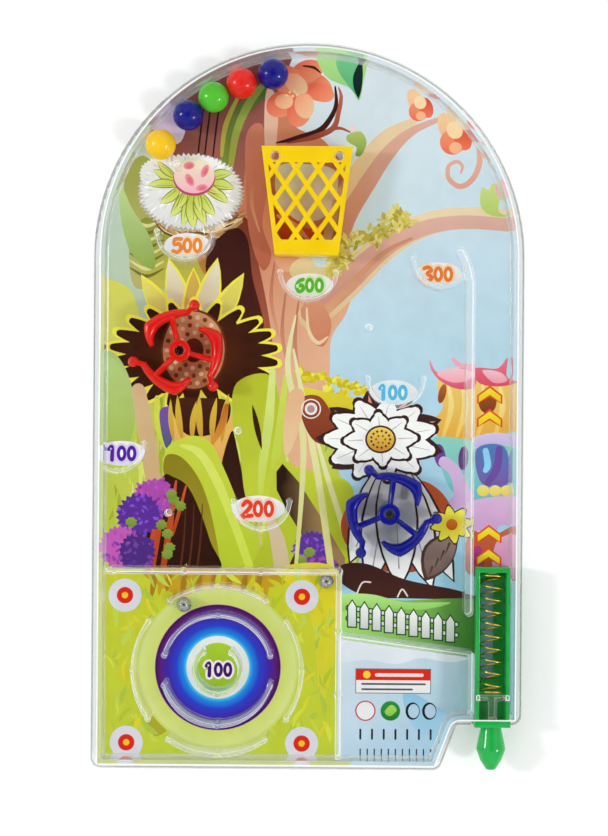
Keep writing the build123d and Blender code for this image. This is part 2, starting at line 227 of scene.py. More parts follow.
def moulded_plastic(name, light, dark, roughness=0.18, scatter=0.0):
    """Glossy coloured plastic with faint flow marks and an even colour that drifts a little."""
    made = Nodes(name)
    tone = made.ramp(made.noise(160, 4), srgb(dark), srgb(light), 0.25, 0.7)
    made.link(tone, made.shader.inputs["Base Color"])
    gloss = made.spread(made.noise(900, 2), roughness * 0.7, roughness * 1.35)
    made.link(gloss, made.shader.inputs["Roughness"])
    made.put(IOR=1.36, Coat_Weight=0.15, Coat_Roughness=0.04)
    if scatter:
        made.put(Subsurface_Weight=scatter, Subsurface_Scale=1.2 * MM)
        made.shader.inputs["Subsurface Radius"].default_value = (1.0, 0.8, 0.5)
    made.bump(made.noise(420, 2), strength=0.12, distance=0.2 * MM)
    return made.material


def clear_plastic(name, tint, roughness=0.02, clarity=1.0):
    """Clear polystyrene.  Lamps shine through it, so that what is inside is lit."""
    made = Nodes(name)
    made.put(Roughness=roughness, IOR=1.5, Transmission_Weight=clarity)
    made.shader.inputs["Base Color"].default_value = (*tint, 1)
    through = made.add("ShaderNodeBsdfTransparent")
    through.inputs["Color"].default_value = (*tint, 1)
    path = made.add("ShaderNodeLightPath")
    passing = made.add("ShaderNodeMath", operation="MAXIMUM")
    made.link(path.outputs["Is Shadow Ray"], passing.inputs[0])
    made.link(path.outputs["Is Diffuse Ray"], passing.inputs[1])
    mix = made.add("ShaderNodeMixShader")
    made.link(passing.outputs["Value"], mix.inputs["Fac"])
    made.link(made.shader.outputs["BSDF"], mix.inputs[1])
    made.link(through.outputs["BSDF"], mix.inputs[2])
    made.link(mix.outputs["Shader"], made.output.inputs["Surface"])
    made.bump(made.noise(60, 2), strength=0.05, distance=0.2 * MM)
    return made.material


def printed_stock(name):
    """Satin coated card: its colour is the ink laid down on each face, with faint mottling."""
    made = Nodes(name)
    ink = made.add("ShaderNodeAttribute", attribute_name="ink")
    mottle = made.spread(made.noise(260, 5), 0.9, 1.08)
    wash = made.spread(made.noise(45, 3), 0.92, 1.06)
    both = made.add("ShaderNodeMath", operation="MULTIPLY")
    made.link(mottle, both.inputs[0])
    made.link(wash, both.inputs[1])
    tone = made.add("ShaderNodeVectorMath", operation="SCALE")
    made.link(ink.outputs["Color"], tone.inputs[0])
    made.link(both.outputs["Value"], tone.inputs["Scale"])
    made.link(tone.outputs["Vector"], made.shader.inputs["Base Color"])
    made.put(Roughness=0.42, IOR=1.15)
    made.bump(made.noise(2400, 2), strength=0.06, distance=0.1 * MM)
    return made.material


def metal(name, colour, roughness, grain=1500):
    """Polished metal with a fine grain in its colour and its gloss."""
    made = Nodes(name)
    tone = made.ramp(made.noise(grain, 3), [c * 0.8 for c in srgb(colour)], srgb(colour))
    made.link(tone, made.shader.inputs["Base Color"])
    gloss = made.spread(made.noise(grain * 0.6, 3), roughness * 0.6, roughness * 1.6)
    made.link(gloss, made.shader.inputs["Roughness"])
    made.put(Metallic=1.0)
    return made.material


CLEAR = clear_plastic("clear_cover_plastic", (0.985, 0.995, 0.99))
EDGES = clear_plastic("clear_cover_edges", (0.985, 0.99, 0.995), roughness=0.12, clarity=0.2)
FEET = clear_plastic("clear_cover_feet", (0.97, 0.98, 0.985), roughness=0.1, clarity=0.76)
WALLS = clear_plastic("clear_cover_walls", (0.97, 0.98, 0.985), roughness=0.06, clarity=0.86)
SHELL = clear_plastic("clear_shell_plastic", (0.95, 0.96, 0.955), roughness=0.1, clarity=0.8)
GREEN = moulded_plastic("green_plastic", "#1FB04E", "#149A40", roughness=0.16, scatter=0.15)
RED = moulded_plastic("red_plastic", "#E8190C", "#D01208", roughness=0.15, scatter=0.1)
BLUE = moulded_plastic("blue_plastic", "#12148E", "#0C0E7A", roughness=0.13, scatter=0.05)
YELLOW = moulded_plastic("yellow_plastic", "#FFD60A", "#F7C804", roughness=0.2, scatter=0.2)
BALL_YELLOW = moulded_plastic("ball_yellow", "#FFCE1C", "#FCC00C", roughness=0.2, scatter=0.25)
BALL_BLUE = moulded_plastic("ball_blue", "#0C0A88", "#0A0876", roughness=0.15, scatter=0.05)
BALL_GREEN = moulded_plastic("ball_green", "#5AC832", "#4CBB26", roughness=0.18, scatter=0.2)
BALL_RED = moulded_plastic("ball_red", "#F0261A", "#E01A10", roughness=0.18, scatter=0.15)
STEEL = metal("polished_steel", "#C4C4BE", 0.04)
GOLD = metal("gold_wire", "#FFD266", 0.1)
CARD = printed_stock("printed_card_stock")
FLOOR = Nodes("floor_white")
FLOOR.link(FLOOR.spread(FLOOR.noise(12, 2), 0.96, 0.98), FLOOR.shader.inputs["Base Color"])
FLOOR.put(Roughness=0.7)

# ---------------------------------------------------------------- mesh helpers


def new_piece(name, mesh, material, body, replaced=()):
    """Put a mesh in the scene as a piece that rides on a body.

    A list of materials is one that the mesh already has, with its faces' places in it.
    """
    piece = bpy.data.objects.new(name, mesh)
    scene.collection.objects.link(piece)
    if not isinstance(material, list):
        mesh.materials.clear()
        mesh.materials.append(material)
    if replaced:
        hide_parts(*replaced)
    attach(piece, body)
    return piece


def smooth_by_angle(mesh, angle=32):
    """Smooth shading, with sharp edges where the faces turn by more degrees."""
    mesh.polygons.foreach_set("use_smooth", [True] * len(mesh.polygons))
    mesh.set_sharp_from_angle(angle=math.radians(angle))


def mesh_of(form, name):
    """A bmesh made into a mesh, and freed."""
    mesh = bpy.data.meshes.new(name)
    form.to_mesh(mesh)
    form.free()
    return mesh


def welded_copy(node):
    """A copy of a CAD node's mesh with its split corners joined and its flat faces whole."""
    mesh = nodes[node].data.copy()
    form = bmesh.new()
    form.from_mesh(mesh)
    bmesh.ops.remove_doubles(form, verts=form.verts, dist=1e-7)
    flat = math.radians(0.5)
    bmesh.ops.dissolve_limit(form, angle_limit=flat, verts=form.verts, edges=form.edges, delimit=set())
    form.to_mesh(mesh)
    form.free()
    mesh.materials.clear()
    return mesh


def applied(mesh, *steps):
    """A mesh after modifiers, each given as a kind and its settings."""
    worker = bpy.data.objects.new("worker", mesh)
    scene.collection.objects.link(worker)
    for kind, settings in steps:
        modifier = worker.modifiers.new(kind.lower(), kind)
        for key, value in settings.items():
            setattr(modifier, key, value)
    graph = bpy.context.evaluated_depsgraph_get()
    result = bpy.data.meshes.new_from_object(worker.evaluated_get(graph))
    bpy.data.objects.remove(worker)
    return result


def bevel(width, segments=2, angle=40):
    """A step for applied() that rounds the edges where faces turn by more degrees."""
    sharp = {"limit_method": "ANGLE", "angle_limit": math.radians(angle)}
    return "BEVEL", {"width": width, "segments": segments, "harden_normals": False, **sharp}


def rounded_piece(name, node, material, body, width):
    """A CAD node's own shape with its moulded edges rounded."""
    mesh = applied(welded_copy(node), bevel(width))
    smooth_by_angle(mesh)
    return new_piece(name, mesh, material, body, [node])


# ---------------------------------------------------------------- the clear cover and its ribs

RIBS = """
    lane_rail chute_wall spring_stop
    target_box_wall target_outer_arcs target_inner_arcs target_centre_cup
    cup_500 cup_600 cup_300 cup_100_right cup_100_left cup_200
    field_pegs centre_post red_spinner_post blue_spinner_post basket_pins
""".split()
RIB_ROUND = 0.3 * MM
SINK = 0.4 * MM  # how far a rib runs up into the cover, so that the two join
FOOT_DEPTH = 5 * MM  # a face that looks down from lower than this is a rib's foot
INK_ROOM = 0.06 * MM  # between the card and the cover's rim
FLAT = 0.98
UPRIGHT = 0.03
COVER = [CLEAR, EDGES, FEET, WALLS]
card_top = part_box("printed_card")[1][2]
cover_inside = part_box("lane_rail")[1][2]


def raised(mesh, level, target, tolerance=1e-5):
    """Move every corner at one height to another height."""
    for vertex in mesh.vertices:
        if abs(vertex.co.z - level) < tolerance:
            vertex.co.z = target
    return mesh


def cover_finishes(mesh):
    """Clear flat faces, bright rounded edges, and slightly hazy feet and walls."""
    mesh.materials.clear()
    for material in COVER:
        mesh.materials.append(material)
    for face in mesh.polygons:
        if abs(face.normal.z) < UPRIGHT:
            face.material_index = COVER.index(WALLS)
        elif abs(face.normal.z) < FLAT:
            face.material_index = COVER.index(EDGES)
        elif face.normal.z < 0 and face.center.z < cover_inside - FOOT_DEPTH:
            face.material_index = COVER.index(FEET)
    return mesh


def moulded_cover():
    """The cover's plate and wall joined to everything that is moulded on its inside."""
    tools = bpy.data.collections.new("cover_ribs")
    scene.collection.children.link(tools)
    for rib in RIBS:
        mesh = applied(welded_copy(rib), bevel(RIB_ROUND))
        cover_finishes(raised(mesh, cover_inside, cover_inside + SINK, 0.25 * MM))
        tools.objects.link(bpy.data.objects.new(rib + "_tool", mesh))
    shell = cover_finishes(raised(welded_copy("front_cover"), card_top, card_top + INK_ROOM))
    union = {"operation": "UNION", "operand_type": "COLLECTION", "collection": tools, "solver": "EXACT"}
    whole = applied(shell, ("BOOLEAN", union))
    for tool in list(tools.objects):
        bpy.data.objects.remove(tool)
    bpy.data.collections.remove(tools)
    smooth_by_angle(whole)
    for face in whole.polygons:
        if abs(face.normal.z) > FLAT:
            face.use_smooth = False
    return whole


new_piece("clear_cover", moulded_cover(), COVER, "case", ["front_cover", *RIBS])

nodes["back_shell"].material_slots[0].material = SHELL

# ---------------------------------------------------------------- coloured plastic pieces

rounded_piece("plunger_moulding", "plunger", GREEN, "plunger", 0.18 * MM)
rounded_piece("basket_net_moulding", "basket_net", YELLOW, "case", 0.2 * MM)
rounded_piece("basket_walls_moulding", "basket_sides", YELLOW, "case", 0.15 * MM)
BALLS = {
    "ball_yellow": BALL_YELLOW,
    "ball_blue_left": BALL_BLUE,
    "ball_green": BALL_GREEN,
    "ball_red": BALL_RED,
    "ball_blue_right": BALL_BLUE,
    "steel_ball_ring": STEEL,
    "steel_ball_corner": STEEL,
}
for ball, material in BALLS.items():
    nodes[ball].material_slots[0].material = material
    smooth_by_angle(nodes[ball].data, 60)

# ---------------------------------------------------------------- spinners

BLADE_ROUND = 1.35 * MM
HUB_ROUND = 0.35 * MM
GRAIN = 0.3 * MM  # the size of a blade's facets
LEVEL = 0.99  # a face with a steeper normal than this lies level
DOME_STEPS = (0.07, 0.2, 0.4, 0.65, 0.95)  # shares of BLADE_ROUND in from a blade's edge
ROOT_SHARE = 0.8  # a blade's root goes in to this share of the hub's radius


def horizontal_levels(mesh, side):
    """The heights of the faces that look up (side 1) or down (side -1), from the axis's end inwards."""
    level = [face for face in mesh.polygons if face.normal.z * side > LEVEL]
    heights = {round(mesh.vertices[face.vertices[0]].co.z, 6) for face in level}
    return sorted(heights, reverse=side > 0)


def walked(edges):
    """The closed lines that edges make, each as its corners in order."""
    ahead = {}
    for a, b in edges:
        ahead.setdefault(a, []).append(b)
        ahead.setdefault(b, []).append(a)
    loops = []
    while ahead:
        start = here = next(iter(ahead))
        loop, last = [start], None
        while True:
            last, here = here, next(v for v in ahead[here] if v != last)
            if here == start:
                break
            loop.append(here)
        for corner in loop:
            del ahead[corner]
        loops.append(loop)
    return loops


def open_loops(mesh, level):
    """The outlines of the faces at one height that look up."""
    count = {}
    for face in mesh.polygons:
        if face.normal.z > LEVEL and abs(mesh.vertices[face.vertices[0]].co.z - level) < SAME:
            for key in face.edge_keys:
                count[key] = count.get(key, 0) + 1
    rims = walked(key for key, uses in count.items() if uses == 1)
    return [[mesh.vertices[v].co.xy.copy() for v in rim] for rim in rims]


def nearest_edge(point, edges):
    """How far a point is from the nearest of some edges."""
    best = 1.0
    for a, b in edges:
        along = b - a
        share = min(max((point - a).dot(along) / along.length_squared, 0), 1)
        best = min(best, (point - a - share * along).length)
    return best


def is_inside(point, loop):
    """Whether a closed line goes round a point."""
    inside = False
    for a, b in pairs(loop):
        if (a.y > point.y) != (b.y > point.y) and point.x < a.x + (point.y - a.y) / (b.y - a.y) * (b.x - a.x):
            inside = not inside
    return inside


def resampled(loop, step):
    """A closed line with a corner about every step."""
    line = []
    for a, b in pairs(loop):
        pieces = max(1, round((b - a).length / step))
        line += [a.lerp(b, k / pieces) for k in range(pieces)]
    return line


def add_domed_arm(form, loop, axis, root, low, top):
    """One arm with a rounded top and underside, its root sunk into the hub."""
    if sum(a.cross(b) for a, b in pairs(loop)) < 0:
        loop = loop[::-1]
    at_root = [abs((p - axis).length - root) < 0.02 * MM for p in loop]
    edges = [side for side, held in zip(pairs(loop), pairs(at_root)) if not all(held)]
    loop = [axis + (p - axis) * ROOT_SHARE if held else p for p, held in zip(loop, at_root)]
    rim = resampled(loop, GRAIN)
    inner = []
    for a, b, c in zip([rim[-1], *rim[:-1]], rim, [*rim[1:], rim[0]]):
        normal = Vector((-(c - a).y, (c - a).x)).normalized()
        for depth in DOME_STEPS:
            point = b + normal * depth * BLADE_ROUND
            if is_inside(point, loop) and nearest_edge(point, edges) > depth * BLADE_ROUND * 0.97:
                inner.append(point)
    columns = range(int(min(p.x for p in rim) / GRAIN), int(max(p.x for p in rim) / GRAIN) + 1)
    rows = range(int(min(p.y for p in rim) / GRAIN), int(max(p.y for p in rim) / GRAIN) + 1)
    for i in columns:
        for j in rows:
            point = Vector((i * GRAIN, j * GRAIN))
            if is_inside(point, loop) and nearest_edge(point, edges) > BLADE_ROUND:
                inner.append(point)
    scale = 1 / MM
    outline = list(range(len(rim)))
    flat, _, faces, *_ = delaunay_2d_cdt([p * scale for p in rim + inner], [], [outline], 1, 1e-4)
    upper, lower = [], []
    for point in flat:
        place = point * MM
        inward = max(BLADE_ROUND - nearest_edge(place, edges), 0)
        drop = BLADE_ROUND - math.sqrt(BLADE_ROUND**2 - min(inward, BLADE_ROUND) ** 2)
        upper.append(form.verts.new((*place, top - drop)))
        lower.append(form.verts.new((*place, low + drop)))
    used = {}  # each edge in the order that its face has it, so that an edge of the rim has no partner
    for face in faces:
        form.faces.new([upper[v] for v in face])
        form.faces.new([lower[v] for v in reversed(face)])
        for a, b in pairs(face):
            used[(a, b)] = True
    for a, b in used:
        if (b, a) not in used:
            form.faces.new((upper[b], upper[a], lower[a], lower[b]))


def add_hub(form, axis, bore, radius, low, top, count=56):
    """A tube with rounded rims."""
    arc = [math.pi / 2 * k / 4 for k in range(5)]
    profile = [(radius - HUB_ROUND * (1 - math.cos(a)), top - HUB_ROUND * (1 - math.sin(a))) for a in arc]
    profile += [(bore + HUB_ROUND * (1 - math.sin(a)), top - HUB_ROUND * (1 - math.cos(a))) for a in arc]
    profile += [(bore + HUB_ROUND * (1 - math.cos(a)), low + HUB_ROUND * (1 - math.sin(a))) for a in arc]
    profile += [(radius - HUB_ROUND * (1 - math.sin(a)), low + HUB_ROUND * (1 - math.cos(a))) for a in arc]
    rings = []
    for k in range(count):
        turn = 2 * math.pi * k / count
        rings.append([form.verts.new((*polar(*axis, r, r, turn), z)) for r, z in profile])
    for a, b in pairs(rings):
        for i in range(len(profile)):
            j = (i + 1) % len(profile)
            form.faces.new((a[i], b[i], b[j], a[j]))


def spinner(node, material):
    """A spinner's blades and hub with rounded edges, on the CAD spinner's outline and heights."""
    source = welded_copy(node)
    axis = Vector(joint(node + "_turn")["pos_m"][:2])
    hub_top, blade_top = horizontal_levels(source, 1)[:2]
    hub_low, blade_low = horizontal_levels(source, -1)[:2]
    reach = [(v.co.xy - axis).length for v in source.vertices if abs(v.co.z - hub_top) < SAME]
    bore, radius = min(reach), max(reach)
    form = bmesh.new()
    for loop in open_loops(source, blade_top):
        add_domed_arm(form, loop, axis, radius, blade_low, blade_top)
    add_hub(form, axis, bore, radius, hub_low, hub_top)
    bmesh.ops.remove_doubles(form, verts=form.verts, dist=1e-7)
    bmesh.ops.recalc_face_normals(form, faces=form.faces)
    mesh = mesh_of(form, node + "_moulding")
    smooth_by_angle(mesh, 40)
    new_piece(node + "_moulding", mesh, material, node, [node])


spinner("red_spinner", RED)
spinner("blue_spinner", BLUE)

# ---------------------------------------------------------------- plunger spring

SPRING_TURNS = 11
STEPS_IN_TURN = 28
END_TURN = 0.8  # the end turns lie nearly closed against their seats
WIRE_RADIUS = 0.25 * MM


def tube(points, radius, sides=10):
    """A round wire along a line of points, closed at both ends."""
    form = bmesh.new()
    rings = []
    normal = Vector((0, 0, 1))
    for i, point in enumerate(points):
        ahead = (points[min(i + 1, len(points) - 1)] - points[max(i - 1, 0)]).normalized()
        normal = (normal - ahead * normal.dot(ahead)).normalized()
        side = ahead.cross(normal)
        ring = []
        for k in range(sides):
            turn = 2 * math.pi * k / sides
            ring.append(form.verts.new(point + radius * (math.cos(turn) * normal + math.sin(turn) * side)))
        rings.append(ring)
    for a, b in zip(rings, rings[1:]):
        for k in range(sides):
            form.faces.new((a[k], a[(k + 1) % sides], b[(k + 1) % sides], b[k]))
    form.faces.new(list(reversed(rings[0])))
    form.faces.new(rings[-1])
    bmesh.ops.recalc_face_normals(form, faces=form.faces)
    mesh = mesh_of(form, "tube")
    smooth_by_angle(mesh, 50)
    return mesh


def coil():
    """The spring's wire, inside the CAD spring's box."""
    low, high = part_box("plunger_spring")
    centre = Vector(((low[0] + high[0]) / 2, 0, (low[2] + high[2]) / 2))
    radius = (high[0] - low[0]) / 2 - WIRE_RADIUS
    start, end = low[1] + WIRE_RADIUS, high[1] - WIRE_RADIUS
    steps = SPRING_TURNS * STEPS_IN_TURN
    points = []
    for i in range(steps + 1):
        share = i / steps
        turn = 2 * math.pi * SPRING_TURNS * share
        open_share = min(max((share * SPRING_TURNS - END_TURN) / (SPRING_TURNS - 2 * END_TURN), 0), 1)
        closed = min(share * SPRING_TURNS, END_TURN) + max(share * SPRING_TURNS - SPRING_TURNS + END_TURN, 0)
        y = start + closed * 2 * WIRE_RADIUS + open_share * (end - start - 4 * END_TURN * WIRE_RADIUS)
        points.append(centre + Vector((radius * math.cos(turn), y, radius * math.sin(turn))))
    return tube(points, WIRE_RADIUS)


spring = new_piece("plunger_coil", coil(), GOLD, "case", ["plunger_spring"])
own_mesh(spring)

# ---------------------------------------------------------------- the card's art


def curve_through(points, closed=True, steps=6):
    """A smooth line through points."""
    count = len(points)
    line = []
    last = count if closed else count - 1
    for i in range(last):
        if closed:
            p0, p1, p2, p3 = (points[(i + k) % count] for k in (-1, 0, 1, 2))
        else:
            p1, p2 = points[i], points[i + 1]
            p0 = points[i - 1] if i else p1
            p3 = points[i + 2] if i + 2 < count else p2
        for s in range(steps):
            t = s / steps
            place = []
            for a, b, c, d in zip(p0, p1, p2, p3):
                square, cube = (2 * a - 5 * b + 4 * c - d) * t * t, (3 * b - a - 3 * c + d) * t**3
                place.append(0.5 * (2 * b + (c - a) * t + square + cube))
            line.append(tuple(place))
    if not closed:
        line.append(tuple(points[-1]))
    return line


def oval(x, y, rx, ry=None, turn=0, count=32):
    """A circle or an oval, turned by degrees."""
    ry = rx if ry is None else ry
    c, s = math.cos(math.radians(turn)), math.sin(math.radians(turn))
    loop = []
    for k in range(count):
        a = 2 * math.pi * k / count
        u, v = rx * math.cos(a), ry * math.sin(a)
        loop.append((x + u * c - v * s, y + u * s + v * c))
    return loop


def ribbon(points, widths, steps=6):
    """A brush stroke along a line, as wide at each point as asked, with round ends."""
    line = curve_through(points, closed=False, steps=steps)
    if not isinstance(widths, (list, tuple)):
        widths = [widths] * len(points)
    left, right = [], []
    for i, (x, y) in enumerate(line):
        share = i / (len(line) - 1) * (len(widths) - 1)
        k = min(int(share), len(widths) - 2)
        half = (widths[k] + (widths[k + 1] - widths[k]) * (share - k)) / 2
        x0, y0 = line[max(i - 1, 0)]
        x1, y1 = line[min(i + 1, len(line) - 1)]
        length = math.hypot(x1 - x0, y1 - y0) or 1
        nx, ny = -(y1 - y0) / length, (x1 - x0) / length
        left.append((x + nx * half, y + ny * half))
        right.append((x - nx * half, y - ny * half))
    (sx, sy), (ex, ey) = line[0], line[-1]

    def cap(a, b, centre):
        """A round end from a to b about a centre, on the far side from the line."""
        radius = math.hypot(a[0] - centre[0], a[1] - centre[1])
        first = math.atan2(a[1] - centre[1], a[0] - centre[0])
        return [polar(*centre, radius, radius, first - math.pi * t / 5) for t in range(1, 5)]

    return left + cap(left[-1], right[-1], (ex, ey)) + right[::-1] + cap(right[0], left[0], (sx, sy))


def leaf(x0, y0, x1, y1, width, bend=0):
    """A pointed leaf from one place to another."""
    dx, dy = x1 - x0, y1 - y0
    nx, ny = -dy / math.hypot(dx, dy), dx / math.hypot(dx, dy)
    side_a, side_b = [], []
    for k in range(9):
        t = k / 8
        half = width / 2 * math.sin(math.pi * t) ** 0.8
        lift = bend * math.sin(math.pi * t)
        x, y = x0 + dx * t + nx * lift, y0 + dy * t + ny * lift
        side_a.append((x + nx * half, y + ny * half))
        side_b.append((x - nx * half, y - ny * half))
    return side_a + side_b[-2:0:-1]


def tufted(x, y, rx, ry, count, depth, seed):
    """A round shape with a ragged, leafy edge."""
    dice = random.Random(seed)
    loop = []
    for k in range(count * 2):
        a = math.pi * k / count + dice.uniform(-0.3, 0.3) / count
        swell = 1 + (depth if k % 2 else -depth) * dice.uniform(0.5, 1.2)
        loop.append(polar(x, y, rx * swell, ry * swell, a))
    return loop


class Art:
    """Inked shapes in the order that they are printed; a later one covers an earlier one."""

    def __init__(self):
        self.shapes = []

    def ink(self, loop, colour, second=None, start=None, end=None):
        """One shape in one colour, or fading to a second colour from start to end."""
        first = srgb(colour)
        last = srgb(second) if second else first
        if second and start is None:
            ys = [p[1] for p in loop]
            start, end = (0, max(ys)), (0, min(ys))
        self.shapes.append((loop, first, last, start, end))

    def rings(self, x, y, stops, count=72):
        """Round bands that fade outwards: stops are radius and colour, from the outside in."""
        for (outer, colour), (inner, second) in zip(stops, stops[1:]):
            band = oval(x, y, outer, count=count)
            self.shapes.append((band, srgb(colour), srgb(second), (x, y, outer), inner))
        inner, colour = stops[-1]
        self.ink(oval(x, y, inner, count=count), colour)

    @staticmethod
    def shade(shape, x, y):
        """A shape's colour at a place."""
        _, first, last, start, end = shape
        if start is None:
            return first
        if len(start) == 3:
            cx, cy, outer = start
            share = (outer - math.hypot(x - cx, y - cy)) / (outer - end)
        else:
            dx, dy = end[0] - start[0], end[1] - start[1]
            share = ((x - start[0]) * dx + (y - start[1]) * dy) / (dx * dx + dy * dy)
        share = min(max(share, 0), 1)
        return tuple(a + (b - a) * share for a, b in zip(first, last))


art = Art()


def blob(points, *colours):
    """A smooth shape through points."""
    art.ink(curve_through(points), *colours)


def stroke(path, widths, *colours):
    """A brush stroke along a path."""
    art.ink(ribbon(path, widths), *colours)


def spot(shape, *colours, count=32):
    """A circle or an oval: its place, its radius or two, and its turn."""
    art.ink(oval(*shape, count=count), *colours)


def blade(shape, *colours):
    """A leaf: its two ends, its width and its bend."""
    art.ink(leaf(*shape), *colours)


def spike(x, y, length, angle, width, *colours):
    """A leaf from a place in a direction."""
    art.ink(leaf(x, y, *polar(x, y, length, length, angle), width), *colours)


def tuft(shape, *colours):
    """A ragged round shape: its place, its radii, how many tufts, how deep, and its seed."""
    art.ink(tufted(*shape), *colours)


def box(x0, y0, x1, y1, *colours):
    """An upright rectangle between two corners."""
    art.ink([(x0, y0), (x1, y0), (x1, y1), (x0, y1)], *colours)


# strokes of each digit, in a cell one wide and 1.6 high
DIGITS = {
    "1": [[(0.22, 1.22), (0.55, 1.48), (0.55, 0.1)]],
    "2": [[(0.1, 1.15), (0.45, 1.52), (0.85, 1.2), (0.6, 0.7), (0.12, 0.12), (0.95, 0.12)]],
    "3": [[(0.08, 1.4), (0.5, 1.52), (0.82, 1.2), (0.42, 0.86), (0.88, 0.45), (0.5, 0.06), (0.05, 0.22)]],
    "5": [[(0.9, 1.48), (0.25, 1.45), (0.2, 0.9), (0.62, 0.98), (0.9, 0.52), (0.52, 0.08), (0.05, 0.2)]],
    "6": [[(0.82, 1.45), (0.35, 1.2), (0.14, 0.6), (0.4, 0.1), (0.85, 0.35), (0.7, 0.8), (0.25, 0.7)]],
}


def score(text, x, y, size, colour, halo, centre="#F3F1EC"):
    """A rounded score number, with a pale edge round it."""
    step = 1.06 * size
    left = x - step * len(text) / 2
    for grow, tone in ((0.24, halo), (0, colour)):
        for place, digit in enumerate(text):
            ox, oy = left + step * place, y - 0.8 * size
            if digit == "0":
                spot((ox + 0.5 * size, oy + 0.8 * size, (0.52 + grow) * size, (0.84 + grow) * size), tone)
            else:
                for line in DIGITS[digit]:
                    stroke([(ox + u * size, oy + v * size) for u, v in line], (0.42 + 2 * grow) * size, tone)
    for place, digit in enumerate(text):
        if digit == "0":
            spot((left + step * place + 0.5 * size, y, 0.17 * size, 0.42 * size), centre)


def backdrop():
    """Sky, the hazy greens on the left and the lime undergrowth."""
    box(-60, -100, 60, 100, "#DDE6EB", "#9FCDE3", (0, 95), (8, -40))
    blob([(-60, 75), (-40, 78), (-34, 60), (-36, 40), (-42, 20), (-60, 15)], "#C6D6CC", "#B2C4A0")
    blob([(-60, 34), (-52, 33), (-46, 28), (-44, 10), (-60, 8)], "#D8D65C", "#CBD06A")
    art.ink([(-60, 8), (-44, 12), (-30, 5), (-8, 8), (4, 0), (9, -20), (9, -44), (-60, -44)], "#C2CC62",
            "#B9C530", (-30, 8), (-30, -44))
    dice = random.Random(4)
    for _ in range(90):
        x, y = dice.uniform(-54, 7), dice.uniform(-44, -6)
        length = dice.uniform(8, 22)
        lean = dice.uniform(-2.5, 2.5)
        tone = dice.choice(["#D6DE6C", "#B2BE36", "#A4AE30", "#CBD552", "#DAD97C", "#BFC84A", "#C9BE72"])
        path = [(x, y), (x + lean, y + length * 0.5), (x + lean * 0.6, y + length)]
        stroke(path, [0.4, dice.uniform(0.8, 2.2), 0.3], tone)
    blob([(-49, 60), (-44, 66), (-38, 58), (-40, 46), (-43, 32), (-47, 33), (-48, 48)], "#9FA24C", "#B7B06A")
    blob([(-45, 48), (-38, 49), (-28, 45), (-20, 43), (-22, 34), (-32, 32), (-42, 32)], "#8E8F3C", "#C2B94E")
    blob([(-30, 44), (-22, 45), (-18, 40), (-22, 33), (-28, 35)], "#8A4A2A", "#C98A3A")
    for k in range(8):
        y = 49 - 1.9 * k
        stroke([(-47.4, y + 0.6), (-43, y - 1.6), (-38.6, y + 0.4)], [0.3, 1, 0.3],
               "#6F7030" if k % 2 else "#DAD98E")
    blob([(-50, 58), (-47, 52), (-42, 44), (-41, 36), (-47, 40), (-50, 50)], "#BFD592", "#8FA84A")


def top_left_thicket():
    """Dark red-brown growth behind the balls, with two bent green blades."""
    blob([(-42, 74), (-36, 84), (-26, 91), (-12, 97), (-4, 96), (-9, 82), (-14, 66),
                           (-17, 48), (-24, 54), (-34, 64)], "#7C3F3B", "#A5655A", (-30, 88), (-18, 60))
    blob([(-41, 73), (-37, 79), (-33, 76), (-34, 70), (-38, 69)], "#C7A3CF", "#E2D6E4")
    for x in (-29.2, -27.4, -25.2):
        stroke([(x + 1.2, 80), (x + 0.4, 74), (x - 0.6, 65)], [0.3, 0.5, 0.35], "#2C1310")
    stroke([(-13, 83), (-18, 78), (-21.5, 71), (-22.5, 63)], [3.2, 3.6, 3.4, 2.2], "#4F6B33", "#7E8F3D")
    stroke([(-12.5, 85), (-16.5, 79.5), (-19.6, 72), (-21, 63)], [1.5, 2.2, 2, 1.4], "#84A04C", "#A9A847")
    stroke([(-19, 82), (-22.4, 74), (-23.4, 66)], [0.9, 1.4, 0.8], "#B3A945")


